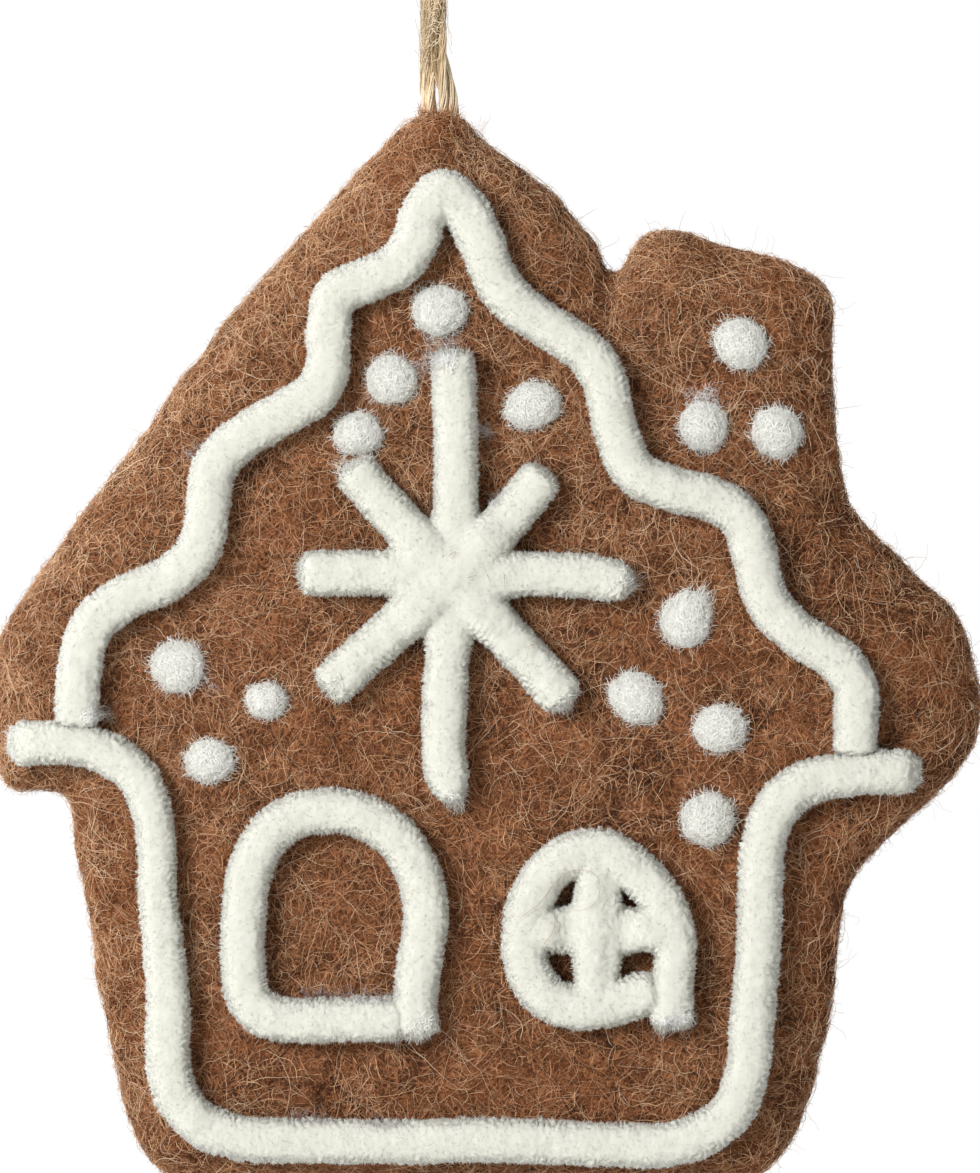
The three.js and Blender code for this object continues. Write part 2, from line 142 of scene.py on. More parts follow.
# %% Smooth lines through a few points
def smooth_line(points, closed=False, steps=16):
    """A dense smooth line through a few points."""
    p = np.asarray(points, float)
    if closed:
        p = np.vstack([p[-1:], p, p[:2]])
    else:
        p = np.vstack([2 * p[:1] - p[1:2], p, 2 * p[-1:] - p[-2:-1]])
    before, start, end, after = p[:-3], p[1:-2], p[2:-1], p[3:]
    t1 = np.linalg.norm(start - before, axis=1)[:, None] ** 0.5
    t2 = np.linalg.norm(end - start, axis=1)[:, None] ** 0.5
    t3 = np.linalg.norm(after - end, axis=1)[:, None] ** 0.5
    leave = end - start + t2 * ((start - before) / t1 - (end - before) / (t1 + t2))
    arrive = end - start + t2 * ((after - end) / t3 - (after - start) / (t2 + t3))
    share = np.linspace(0, 1, steps, endpoint=False)[None, :, None]
    line = (
        (2 * share**3 - 3 * share**2 + 1) * start[:, None]
        + (share**3 - 2 * share**2 + share) * leave[:, None]
        + (3 * share**2 - 2 * share**3) * end[:, None]
        + (share**3 - share**2) * arrive[:, None]
    ).reshape(-1, p.shape[1])
    return line if closed else np.vstack([line, p[-2]])


def length_along(line):
    """How far along the line each of its points is."""
    steps = np.linalg.norm(np.diff(line, axis=0), axis=1)
    return np.concatenate([[0], np.cumsum(steps)])


def even_line(line, spacing, start=0.0, end=None):
    """The same line, or a stretch of it, with points about this far apart."""
    along = length_along(line)
    end = along[-1] if end is None else end
    stops = np.linspace(start, end, max(2, round((end - start) / spacing)) + 1)
    return np.stack([np.interp(stops, along, column) for column in line.T], axis=1)


# %% [markdown]
# ## Tubes
#
# A fibre is a thin tube with three sides, a strand of twine one with five. Many of them go into one mesh,
# so they are all made at once with NumPy. Each tube remembers a **tint** from 0 to 1, which its material
# turns into a colour, so that neighbouring fibres differ as real ones do. Each tube also gets its own
# small cell of a UV map, where textures can be baked, and it would take Blender very long to unwrap
# thousands of fibres itself.

# %% Directions and angles
def unit(vectors):
    return vectors / np.maximum(np.linalg.norm(vectors, axis=-1, keepdims=True), 1e-12)


def full_turn(count):
    """This many angles, evenly round a circle."""
    return 2 * np.pi * np.arange(count) / count


def around(angles, first, second):
    """Directions at these angles, counted from the first one towards the second."""
    return np.cos(angles)[..., None] * first + np.sin(angles)[..., None] * second


def round_about(turns, radii):
    """Places on a plane at these angles and radii."""
    return np.stack([radii * np.cos(turns), radii * np.sin(turns)], axis=-1)


def cross_frames(paths, up):
    """Two directions across every point of every path: sideways, and about along up."""
    forward = unit(np.gradient(paths, axis=-2))
    sideways = unit(np.cross(np.broadcast_to(up, paths.shape), forward))
    return sideways, np.cross(forward, sideways)


# %% Many tubes at once
def own_cells(count):
    """How many cells the UV map has each way, and the corner of each tube's own cell."""
    grid = math.ceil(math.sqrt(count))
    return grid, np.stack([np.arange(count) % grid, np.arange(count) // grid], axis=-1)[:, None, None]


def ring_cells(count, steps, sides, window):
    """Where on the UV map the side faces and the end faces of each tube lie: one square cell a tube."""
    grid, cell = own_cells(count)
    across = 0.1 + 0.8 * np.arange(sides + 1) / sides
    along = 0.1 + 0.8 * np.arange(steps) / (steps - 1)
    spots = cell + np.stack(np.meshgrid(across, along), axis=-1)
    side_spots = np.stack(
        [spots[:, :-1, :-1], spots[:, :-1, 1:], spots[:, 1:, 1:], spots[:, 1:, :-1]], axis=3
    )
    end_spots = cell[:, 0] + 0.05 + round_about(full_turn(sides), 0.04)
    low = np.array(window[:2])
    size = (np.array(window[2:]) - low) / grid
    return low + size * side_spots.reshape(-1, 2), low + size * end_spots.reshape(-1, 2)


def closed_rings(rings, tints, window=(0, 0, 1, 1)):
    """A shape of closed tubes from their rings, an array of tubes, rings, points on a ring and X Y Z.

    The window is the part of the UV map that the tubes may use."""
    count, steps, sides = rings.shape[:3]
    number = np.arange(count * steps * sides).reshape(count, steps, sides)
    after = np.roll(number, -1, axis=2)
    quads = np.stack([number[:, :-1], after[:, :-1], after[:, 1:], number[:, 1:]], axis=-1)
    side_spots, end_spots = ring_cells(count, steps, sides, window)
    return {
        "points": rings.reshape(-1, 3),
        "faces": [
            (quads.reshape(-1, 4), side_spots),
            (number[:, 0, ::-1], end_spots),
            (number[:, -1], end_spots),
        ],
        "tint": np.repeat(tints, steps * sides),
    }


def tubes(paths, radii, sides, up, tints, window=(0, 0, 1, 1)):
    """Closed round tubes along paths, an array of tubes, points and X Y Z."""
    sideways, upward = cross_frames(paths, up)
    spokes = around(full_turn(sides), sideways[:, :, None], upward[:, :, None])
    rings = paths[:, :, None] + spokes * np.asarray(radii)[..., None, None]
    return closed_rings(rings, tints, window)


# %% [markdown]
# ## From shapes to pieces
#
# `add_piece` turns such a shape into a Blender object: it writes the mesh, gives it a material and lets
# it ride on the CAD body that it moves with. The house is the only body used here; the twine rides on none.

# %% Shapes into objects
def join_shapes(shapes):
    """One shape from several."""
    points, faces, tint, first = [], [], [], 0
    for shape in shapes:
        points.append(shape["points"])
        tint.append(shape["tint"])
        faces += [(corners + first, spots) for corners, spots in shape["faces"]]
        first += len(shape["points"])
    return {"points": np.concatenate(points), "faces": faces, "tint": np.concatenate(tint)}


def build_mesh(name, shape):
    mesh = bpy.data.meshes.new(name)
    corners = np.concatenate([faces.ravel() for faces, spots in shape["faces"]])
    sizes = np.concatenate([np.full(len(faces), faces.shape[1]) for faces, spots in shape["faces"]])
    mesh.vertices.add(len(shape["points"]))
    mesh.vertices.foreach_set("co", shape["points"].astype(np.float32).ravel())
    mesh.loops.add(len(corners))
    mesh.loops.foreach_set("vertex_index", corners.astype(np.int32))
    mesh.polygons.add(len(sizes))
    starts = np.concatenate([[0], np.cumsum(sizes)[:-1]])
    mesh.polygons.foreach_set("loop_start", starts.astype(np.int32))
    mesh.update(calc_edges=True)
    mesh.shade_smooth()
    tint = mesh.attributes.new("tint", "FLOAT", "POINT")
    tint.data.foreach_set("value", shape["tint"].astype(np.float32))
    if shape["faces"][0][1] is not None:
        spots = np.concatenate([spots for faces, spots in shape["faces"]])
        uv_map = mesh.uv_layers.new(name="OFBake")
        uv_map.data.foreach_set("uv", spots.astype(np.float32).ravel())
    return mesh


def add_piece(name, shape, material, nodes=(), body="house"):
    piece = bpy.data.objects.new(name, build_mesh(name, shape))
    bpy.context.scene.collection.objects.link(piece)
    piece.data.materials.append(material)
    if body:
        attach(piece, body)
    if nodes:
        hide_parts(*nodes)
    print(name, len(piece.data.vertices), "vertices")
    return piece


# %% [markdown]
# ## Fibre colours
#
# Wool is never one colour: every fibre is a little darker or lighter than the next, and whole patches
# lean to another hue because the dye took unevenly. Wool, cord and twine all need that effect, so it is
# a node group, built once, with its own colours in each material. It reads the tint that every fibre
# carries and adds patches of noise that lie over many fibres at once.

# %% Nodes, made and joined
def srgb(code):
    """A colour code such as 7A4A32, in the linear numbers that shaders count with."""
    levels = [int(code[n:n + 2], 16) / 255 for n in (0, 2, 4)]
    linear = [level / 12.92 if level < 0.04045 else ((level + 0.055) / 1.055) ** 2.4 for level in levels]
    return (*linear, 1.0)


def set_inputs(tree, node, inputs):
    """Links each input of a node to another node's output, or sets it to a plain value."""
    for name, given in inputs.items():
        if isinstance(given, bpy.types.NodeSocket):
            tree.links.new(given, node.inputs[name])
        else:
            node.inputs[name].default_value = given


def add_node(tree, kind, inputs=None, **settings):
    node = tree.nodes.new("ShaderNode" + kind)
    for setting, value in settings.items():
        setattr(node, setting, value)
    set_inputs(tree, node, inputs or {})
    return node


def mix_colours(tree, factor, first, second):
    inputs = {"Factor": factor, "A": first, "B": second}
    return add_node(tree, "Mix", inputs, data_type="RGBA").outputs["Result"]


def map_range(tree, value, low, high):
    inputs = {"Value": value, "From Min": low, "From Max": high}
    return add_node(tree, "MapRange", inputs, interpolation_type="SMOOTHSTEP").outputs["Result"]


def noise(tree, where, scale, detail=2.0):
    return add_node(tree, "TexNoise", {"Vector": where, "Scale": scale, "Detail": detail}).outputs["Fac"]


def calculate(tree, operation, first, second):
    return add_node(tree, "Math", {0: first, 1: second}, operation=operation).outputs[0]


# %% A node group that colours fibres by their tint
def new_group(name, inputs, outputs):
    """A node group with these sockets, each a name and a kind, and its input and output nodes."""
    group = bpy.data.node_groups.new(name, "ShaderNodeTree")
    for way, sockets in (("INPUT", inputs), ("OUTPUT", outputs)):
        for socket, kind in sockets.items():
            group.interface.new_socket(socket, in_out=way, socket_type="NodeSocket" + kind)
    return group, group.nodes.new("NodeGroupInput").outputs, group.nodes.new("NodeGroupOutput")


def fibre_colours_group():
    colours = {name: "Color" for name in ("Dark", "Middle", "Light", "Patch")}
    amounts = {name: "Float" for name in ("Patch Amount", "Patches per Metre")}
    group, given, result = new_group("fibre_colours", colours | amounts, {"Color": "Color"})
    tint = add_node(group, "Attribute", attribute_name="tint").outputs["Fac"]
    where = add_node(group, "TexCoord").outputs["Object"]
    colour = mix_colours(group, map_range(group, tint, 0.0, 0.5), given["Dark"], given["Middle"])
    colour = mix_colours(group, map_range(group, tint, 0.5, 1.0), colour, given["Light"])
    patches = map_range(group, noise(group, where, given["Patches per Metre"]), 0.42, 0.68)
    share = calculate(group, "MULTIPLY", patches, given["Patch Amount"])
    set_inputs(group, result, {"Color": mix_colours(group, share, colour, given["Patch"])})
    return group


fibre_colours = fibre_colours_group()
print("group", fibre_colours.name, "with", len(fibre_colours.nodes), "nodes")


# %% A material that wears it
def set_shader(material, inputs):
    """Sets or links inputs of a material's own shader."""
    set_inputs(material.node_tree, material.node_tree.nodes["Principled BSDF"], inputs)


def fibre_material(name, dark, middle, light, patch, patch_amount, patches_per_metre):
    material = bpy.data.materials.new(name)
    material.use_nodes = True
    colours = add_node(material.node_tree, "Group", {
        "Dark": srgb(dark), "Middle": srgb(middle), "Light": srgb(light), "Patch": srgb(patch),
        "Patch Amount": patch_amount, "Patches per Metre": patches_per_metre,
    }, node_tree=fibre_colours)
    set_shader(material, {
        "Base Color": colours.outputs["Color"], "Roughness": 0.8, "Specular IOR Level": 0.25,
    })
    return material


# %% [markdown]
# ## Twine
#
# The loop is straw-coloured jute of three plies, and each ply is a bundle of strands. Both are twisted,
# but only slightly: jute is sold nearly flat. So the mesh is made in the same two steps, with one long
# helix wound on another, and every strand drifts a little on its way. The loop is a free cord, about
# 140 mm from one end to the other, limp, and taut under the house's weight. Its route is the CAD model's
# own, in millimetres, and its ends run on for a moment into the felt.

# %% The twine's route
TWINE_WIDTH = 1.75 * MM
TWINE_ROUTE_MM = [
    (-1.08, 0, -66), (-1.1, 0, -62.825), (-1.23, 0.45, -59), (-1.05, 0.8, -55), (-1.0, 0.85, -51),
    (-1.0, 0.85, -46), (-0.95, 0.9, -40), (-0.9, 0.95, -33), (-1, 0.95, -26), (-1.3, 0.9, -20),
    (-2.1, 0.7, -14), (-3.2, 0.4, -8.5), (-3.85, 0.1, -4), (-2.9, 0, -0.5), (0, 0, 0.875),
    (2.9, 0, -0.5), (3.85, -0.1, -4), (3.2, -0.4, -8.5), (2, -0.7, -14), (1.1, -0.9, -20),
    (0.7, -0.95, -26), (0.5, -0.95, -33), (0.35, -0.9, -40), (0.1, -0.85, -46), (-0.05, -0.85, -51),
    (0.0, -0.8, -55), (0.35, -0.55, -59), (1.08, 0, -62.825), (1.08, 0, -66),
]
twine_line = even_line(smooth_line(np.array(TWINE_ROUTE_MM) * MM), 0.45 * MM)
print("twine", round(length_along(twine_line)[-1] / MM, 1), "mm")


# %% Strands wound into plies, and plies into twine
def wind(line, up, radius, pitch, count):
    """Count lines wound round a line, evenly spaced round it."""
    sideways, upward = cross_frames(line, up)
    turns = 2 * np.pi * length_along(line) / pitch
    return [line + radius * around(turns + 2 * np.pi * n / count, sideways, upward) for n in range(count)]


def drift(count, line, amount, wave, random):
    """Small slow wanderings along a line, three numbers for each of its points."""
    along = length_along(line)[:, None]
    waves = random.uniform(0.6, 1.8, (count, 1, 3)) * 2 * np.pi / wave
    return amount * np.sin(along * waves + random.uniform(0, 2 * np.pi, (count, 1, 3)))


PLIES = 3
PLY_PITCH = 26 * MM
STRANDS = 14
STRAND_PITCH = 19 * MM
LOOSE_LEG = 9 * MM
ply_radius = TWINE_WIDTH / 2 / (1 + 1 / math.sin(math.pi / PLIES))
strand_radius = ply_radius / (1 + 1 / math.sin(math.pi / STRANDS))
across = np.array([0.0, 1.0, 0.0])
random = np.random.default_rng(11)
# The second leg is twisted more loosely, and opens out where it enters the felt.
from_end = length_along(twine_line)[-1] - length_along(twine_line)
loosening = 1 + 0.3 * np.clip(1 - (from_end - 3 * MM) / LOOSE_LEG, 0, 1)[:, None]
strand_paths = []
for ply in wind(twine_line, across, loosening * (TWINE_WIDTH / 2 - ply_radius), PLY_PITCH, PLIES):
    strand_paths += wind(ply, across, loosening * (ply_radius - strand_radius), STRAND_PITCH, STRANDS)
    strand_paths.append(ply)
strand_paths = np.array(strand_paths)
strand_paths += drift(len(strand_paths), twine_line, 0.07 * MM, 6 * MM, random)
thickness = strand_radius * (1.6 + drift(len(strand_paths), twine_line, 0.3, 9 * MM, random)[..., 0])
strand_tints = random.uniform(0.05, 0.88, len(strand_paths))
strands = tubes(strand_paths, thickness, 5, across, strand_tints, (0, 0, 0.5, 1))
print("strands", len(strand_paths), "each about", round(2 * thickness.mean() / MM, 2), "mm thick")

# %% [markdown]
# Jute sheds: fine fibres come loose and wind about the twine at all angles. They are short helices of
# their own, a little further out.

# %% Loose fibres round the twine
LOOSE_FIBRES = 800
first = random.integers(8, len(twine_line) - 45, LOOSE_FIBRES)
share = np.linspace(0, 1, 10)
span = random.uniform(6, 34, (LOOSE_FIBRES, 1)) * share
nearest = (first[:, None] + span).astype(int)
sideways, upward = cross_frames(twine_line, across)
angle = random.uniform(0, 2 * np.pi, (LOOSE_FIBRES, 1)) + random.normal(0, 0.18, (LOOSE_FIBRES, 1)) * span
lift = random.uniform(0.95, 1.25, (LOOSE_FIBRES, 1)) + random.uniform(0, 0.9, (LOOSE_FIBRES, 1)) * share**3
lift = (lift * TWINE_WIDTH / 2)[..., None]
loose_paths = twine_line[nearest] + lift * around(angle, sideways[nearest], upward[nearest])
loose_tints = random.uniform(0.5, 1, LOOSE_FIBRES)
loose = tubes(loose_paths, np.full(1, 0.022 * MM), 3, across, loose_tints, (0.5, 0.3, 1, 1))
print("loose fibres", LOOSE_FIBRES)

# %% Dark strands that paint the shade where the two legs of the loop touch, and fine curls over them
# Painted shade: these darkest strands stand in for the shadow in the gap between the two legs.
PAINTED_SHADE_STRANDS = 22
share = np.linspace(0, 1, 8)[None]
painted_shade_x = random.uniform(-0.95, -0.1, (PAINTED_SHADE_STRANDS, 1)) + random.normal(0, 0.05, (PAINTED_SHADE_STRANDS, 8))
painted_shade_y = -1.3 - 0.55 * np.clip(painted_shade_x + 0.9, 0, 1)
painted_shade_z = random.uniform(-57, -49, (PAINTED_SHADE_STRANDS, 1)) - 3.5 * share
painted_shade_paths = np.stack([painted_shade_x, painted_shade_y, painted_shade_z], axis=-1) * MM
painted_shade = tubes(painted_shade_paths, np.full(1, 0.06 * MM), 4, across, np.zeros(PAINTED_SHADE_STRANDS), (0.7, 0, 1, 0.3))

CURLS = 70
CURL_STEPS = 12
start = np.column_stack([
    random.uniform(-1.2, 0.4, CURLS), np.zeros(CURLS), random.uniform(-58.5, -45, CURLS)
]) * MM
turning = random.choice([-1, 1], (CURLS, 1)) * np.linspace(0, 5, CURL_STEPS)
heading = random.uniform(0, 2 * np.pi, (CURLS, 1)) + turning
heading += np.cumsum(random.normal(0, 0.35, (CURLS, CURL_STEPS)), axis=1)
step = random.uniform(0.16, 0.4, (CURLS, 1)) * MM
curl_paths = start[:, None] + np.cumsum(np.insert(round_about(heading, step), 1, 0, axis=2), axis=1)
right_leg = np.clip((curl_paths[..., 0] / MM + 1.3) / 0.8, 0, 1)
curl_paths[..., 1] = (-0.3 - 1.65 * right_leg - random.uniform(0, 0.25, (CURLS, 1))) * MM
curl_paths[..., 0] = np.clip(curl_paths[..., 0], -2.0 * MM, 1.0 * MM)
curl_tints = random.uniform(0.85, 1, CURLS)
curls = tubes(curl_paths, np.full(1, 0.032 * MM), 3, across, curl_tints, (0.5, 0, 0.7, 0.3))
print("slipped strands", PAINTED_SHADE_STRANDS, "curls", CURLS)

# %% The twine as one piece, and a free cord
jute = fibre_material("jute", "887350", "CDB089", "EFE0C6", "AC9A7C", 0.5, 210.0)
twine_parts = join_shapes([strands, loose, painted_shade, curls])
twine = add_piece("twine", twine_parts, jute, ["twine_loop"], body=None)
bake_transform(twine)

# %% [markdown]
# ## The felt body
#
# The skin was felted by hand over a core of loose wool, so it has the outline of the CAD solid but no
# sharp edge anywhere. It could be modelled with a subdivision surface, but its outline has bays and
# corners that would pinch. Instead a rough shell is built ring by ring from the outline inwards, and
# voxel remeshing turns it into small even squares, which take fine lumps well.

# %% The outline, and how far inside it a place lies
OUTLINE_PIXELS = [
    (441, 112), (460, 116), (480, 139), (520, 167), (556, 194), (590, 233), (616, 262), (628, 250),
    (642, 235), (668, 231), (705, 239), (750, 252), (800, 268), (824, 284), (832, 306), (830, 365),
    (836, 440), (847, 500), (876, 535), (925, 580), (956, 612), (972, 652), (979, 704), (968, 756),
    (930, 800), (880, 846), (850, 884), (839, 925), (834, 975), (824, 1040), (808, 1102), (786, 1150),
    (752, 1174), (700, 1180), (450, 1181), (220, 1181), (170, 1176), (142, 1150), (124, 1095),
    (104, 1015), (92, 930), (78, 845), (70, 800), (56, 790), (10, 788), (-2, 768), (-8, 705),
    (-3, 650), (12, 614), (60, 546), (150, 424), (244, 300), (330, 205), (376, 152), (412, 121),
]
MIDDLE_PIXEL = (450, 650)

closed_outline = smooth_line(places(OUTLINE_PIXELS), closed=True)
closed_outline = np.vstack([closed_outline, closed_outline[:1]])
outline = even_line(closed_outline, 0.8 * MM)[:-1]


def search_tree(where):
    """Finds the nearest of these places, X and Z."""
    tree = KDTree(len(where))
    for index, (x, z) in enumerate(where):
        tree.insert((x, 0, z), index)
    tree.balance()
    return tree


edge_tree = search_tree(even_line(closed_outline, 0.1 * MM))


def inside_distance(where):
    """How far each place, X and Z, lies from the outline."""
    return np.array([edge_tree.find((x, 0, z))[2] for x, z in where])


print("outline", round(length_along(closed_outline)[-1] / MM), "mm round")

# %% [markdown]
# A pillow face is a quarter round at the rim and then a slow crown. Both depend only on how far inside
# the outline a place lies, so one function serves the skin and everything that is glued on it.

# %% The shape of a pillow face
FRONT_CROWN = 1.3 * MM
RIM_RUN = 6.4 * MM
CROWN_RUN = 22 * MM
front_shoulder = -felt_low.y - FRONT_CROWN


def pillow_depth(distance, shoulder, crown):
    climb = 1 - np.clip(distance / RIM_RUN, 0, 1)
    share = np.clip(distance / CROWN_RUN, 0, 1)
    return shoulder * np.sqrt(1 - climb**2) + crown * share**2 * (3 - 2 * share)


def front_depth(where):
    """How far the front of the felt stands out of the middle plane at each place."""
    flat = np.reshape(where, (-1, 2))
    return pillow_depth(inside_distance(flat), front_shoulder, FRONT_CROWN).reshape(np.shape(where)[:-1])


# %% A rough shell, ring by ring
RIM_STEPS = 9
middle = np.array(place(*MIDDLE_PIXEL))
walk = np.linspace(0, 1, 160)
walked = outline[:, None] + walk[:, None] * (middle - outline)[:, None]
reached = inside_distance(walked.reshape(-1, 2)).reshape(len(outline), -1)


def ring_at(distance, depth):
    """The places that lie this far inside, found on the way from the outline to the middle."""
    beyond = np.argmax(reached >= distance, axis=1)
    row = np.arange(len(outline))
    before = np.maximum(beyond - 1, 0)
    gain = np.maximum(reached[row, beyond] - reached[row, before], 1e-9)
    step = np.clip((distance - reached[row, before]) / gain, 0, 1)[:, None]
    where = walked[row, before] * (1 - step) + walked[row, beyond] * step
    return np.stack([where[:, 0], np.full(len(row), depth), where[:, 1]], axis=1)


rim_angles = np.linspace(0, np.pi / 2, RIM_STEPS)
inward = np.concatenate([RIM_RUN * (1 - np.cos(rim_angles)), [0.5 * (RIM_RUN + CROWN_RUN), CROWN_RUN]])
front_rings = [ring_at(d, -pillow_depth(d, front_shoulder, FRONT_CROWN)) for d in inward]
back_rings = [ring_at(d, pillow_depth(d, back_depth, 0)) for d in inward[1:]]
shell_rings = np.array(front_rings[::-1] + back_rings)
shell = closed_rings(shell_rings[None], np.zeros(1))
print("rings", len(shell_rings), "of", len(outline), "points")


# %% Even squares
def even_squares(shape, voxel, smoothing):
    """The same form as points and squares of one size. Forms that overlap are fused."""
    rough = bpy.data.objects.new("rough", build_mesh("rough", shape))
    bpy.context.scene.collection.objects.link(rough)
    remesh = rough.modifiers.new("remesh", "REMESH")
    remesh.mode = "VOXEL"
    remesh.voxel_size = voxel
    smooth = rough.modifiers.new("smooth", "SMOOTH")
    smooth.iterations = smoothing
    mesh = rough.evaluated_get(bpy.context.evaluated_depsgraph_get()).data
    points = np.zeros(len(mesh.vertices) * 3, np.float32)
    mesh.vertices.foreach_get("co", points)
    corners = np.zeros(len(mesh.loops), np.int32)
    mesh.loops.foreach_get("vertex_index", corners)
    bpy.data.objects.remove(rough)
    return points.reshape(-1, 3).astype(float), corners.reshape(-1, 4)


def facing_of(points, corners):
    """Which way the surface faces at each of its points."""
    a, b, c, d = (points[corners[:, n]] for n in range(4))
    squares = np.repeat(np.cross(c - a, d - b), 4, axis=0)
    total = [np.bincount(corners.ravel(), axis, len(points)) for axis in squares.T]
    return unit(np.stack(total, axis=1))


def flat_spots(points, corners, facing):
    """UV places for a surface that is seen from the front, and beside that for one seen from the back."""
    low, high = points.min(axis=0), points.max(axis=0)
    spots = ((points - low) / (high - low))[:, ::2][corners]
    behind = facing[corners].mean(axis=1)[:, 1] > 0
    spots[..., 0] = 0.01 + 0.48 * spots[..., 0] + 0.5 * behind[:, None]
    return spots.reshape(-1, 2)


# %% Lumps, the fold beside the chimney, and the collar round the twine
def soft_noise(points, size, seed, waves=24):
    """A smooth random value at each point, mostly from -1 to 1, with lumps about this big.

    It is a sum of sine waves that run in random directions."""
    random = np.random.default_rng(seed)
    directions = unit(random.normal(size=(waves, 3)))
    directions *= 2 * np.pi / size * random.uniform(0.5, 1.5, (waves, 1))
    phases = random.uniform(0, 2 * np.pi, waves)
    return np.sin(points @ directions.T + phases).sum(axis=1) / math.sqrt(2 * waves)


def near_line(where, line, reach):
    """1 on the line, fading to 0 this far from it."""
    distance = np.min(np.linalg.norm(where[:, None] - line[None], axis=2), axis=1)
    return np.exp(-((distance / reach) ** 2))


VOXEL = 0.55 * MM
FIBRE_LAYER = 0.4 * MM
FOLD_PIXELS = [(614, 258), (609, 280), (608, 306)]
FOLD_DEPTH = 1.3 * MM
FOLD_REACH = 1.5 * MM
COLLAR_HALF_WIDTH = 3.3 * MM
COLLAR_FOOT = -67.5 * MM
COLLAR_CLIMB = 2.5 * MM
COLLAR_RISE = 0.1 * MM

skin, skin_corners = even_squares(shell, VOXEL, 8)
skin_facing = facing_of(skin, skin_corners)
lumps = 0.22 * soft_noise(skin, 11 * MM, 1) + 0.1 * soft_noise(skin, 4 * MM, 2)
lumps += 0.07 * soft_noise(skin, 1.6 * MM, 3)
skin += skin_facing * (lumps * MM - FIBRE_LAYER)[:, None]

fold = even_line(smooth_line(places(FOLD_PIXELS)), 0.5 * MM)
skin -= skin_facing * near_line(skin[:, ::2], fold, FOLD_REACH)[:, None] * FOLD_DEPTH
at_twine = np.exp(-((skin[:, 0] / COLLAR_HALF_WIDTH) ** 6))
skin[:, 2] += COLLAR_RISE * at_twine * np.clip((skin[:, 2] - COLLAR_FOOT) / COLLAR_CLIMB, 0, 1)
skin_facing = facing_of(skin, skin_corners)
felt_tree = BVHTree.FromPolygons(skin.tolist(), skin_corners.tolist())
print("skin", len(skin), "points", len(skin_corners), "squares")

# %% [markdown]
# ## Felt as a material
#
# Between its fibres, felt is dark: light gets lost there. So the skin itself is the colour of the gaps,
# with finer fibres drawn on it by noise that is stretched into streaks. One stretched noise would look
# combed, so three of them cross, each turned another way, and the highest one wins, as the top fibre does.
# The white wool of the dots and the wadding show the same thing in other colours, so it is a node group.

# %% A node group of crossing fibres
def matted_fibres_group():
    group, given, result = new_group(
        "matted_fibres", {"Fibres per Metre": "Float"}, {"Mask": "Float", "Height": "Float"}
    )
    where = add_node(group, "TexCoord").outputs["Object"]
    bend = add_node(group, "TexNoise", {"Vector": where, "Scale": 260}).outputs["Color"]
    furthest = (2.5 * MM, 2.5 * MM, 2.5 * MM)
    bent = add_node(group, "VectorMath", {0: bend, 1: furthest, 2: where}, operation="MULTIPLY_ADD")
    highest = None
    for degrees in (15, 75, 135):
        turn = (0, math.radians(degrees), 0)
        turned = add_node(group, "Mapping", {"Vector": bent.outputs["Vector"], "Rotation": turn})
        streaks = add_node(group, "Mapping", {"Vector": turned.outputs["Vector"], "Scale": (1, 1, 0.12)})
        layer = noise(group, streaks.outputs["Vector"], given["Fibres per Metre"], 0.0)
        highest = layer if highest is None else calculate(group, "MAXIMUM", highest, layer)
    set_inputs(group, result, {"Mask": map_range(group, highest, 0.55, 0.75), "Height": highest})
    return group


matted_fibres = matted_fibres_group()
print("group", matted_fibres.name, "with", len(matted_fibres.nodes), "nodes")


# %% Fibres drawn on a surface: lighter, and higher
def draw_fibres(material, fibre_colour, per_metre, height):
    """Draws crossing fibres over a fibre material, in their own colour and raised by this much."""
    tree = material.node_tree
    under = tree.nodes["Principled BSDF"].inputs["Base Color"].links[0].from_socket
    drawn = add_node(tree, "Group", {"Fibres per Metre": per_metre}, node_tree=matted_fibres).outputs
    bump = add_node(tree, "Bump", {"Height": drawn["Height"], "Distance": height})
    colour = mix_colours(tree, drawn["Mask"], under, srgb(fibre_colour))
    set_shader(material, {"Base Color": colour, "Normal": bump.outputs["Normal"]})


# %% The skin
felt = fibre_material("felt", "2A150A", "56311B", "7C4D2E", "7A4827", 0.4, 90.0)
draw_fibres(felt, "9A6642", 3800.0, 0.2 * MM)
felt_shape = {
    "points": skin,
    "faces": [(skin_corners, flat_spots(skin, skin_corners, skin_facing))],
    "tint": 0.45 + 0.25 * soft_noise(skin, 5 * MM, 4),
}
felt_body = add_piece("felt_body", felt_shape, felt, ["front_felt", "back_felt"])

# %% [markdown]
# ## Loose fibres
#
# What the eye knows as felt are the fibres on top: a mat of short ones, long pale hairs that wander over
# it, and a fuzz that stands off the edges. A hair system would draw them at once, but it isn't a mesh and
# so can't be exported. These are thin tubes. Each starts at a random place, walks off in a random
# direction while it bends, and is then laid on the skin.

# %% Random places, and paths that wander from them
def places_on(points, facing, corners, count, random):
    """Random places on a mesh of even squares, and which way its surface faces there."""
    chosen = corners[random.integers(len(corners), size=count)]
    a, b = random.random((2, count, 1))
    shares = [(1 - a) * (1 - b), a * (1 - b), a * b, (1 - a) * b]
    spots = sum(share * points[chosen[:, n]] for n, share in enumerate(shares))
    return spots, unit(sum(share * facing[chosen[:, n]] for n, share in enumerate(shares)))


def wander(starts, facing, lengths, steps, curl, random, lay=0):
    """Paths that run flat on the surface from each start, and turn by about this angle on their way.

    Lay is a direction for each start that its path leans to."""
    aside = unit(np.cross(facing, random.normal(size=facing.shape) + lay))
    ahead = np.cross(aside, facing)
    heading = random.normal(size=(len(starts), 1)) * curl * np.linspace(0, 1, steps)
    heading += np.cumsum(random.normal(size=(len(starts), steps)), axis=1) * curl * 0.5 / math.sqrt(steps)
    moves = (lengths / (steps - 1))[:, None, None] * around(heading, ahead[:, None], aside[:, None])
    moves[:, 0] = 0
    return starts[:, None] + np.cumsum(moves, axis=1)


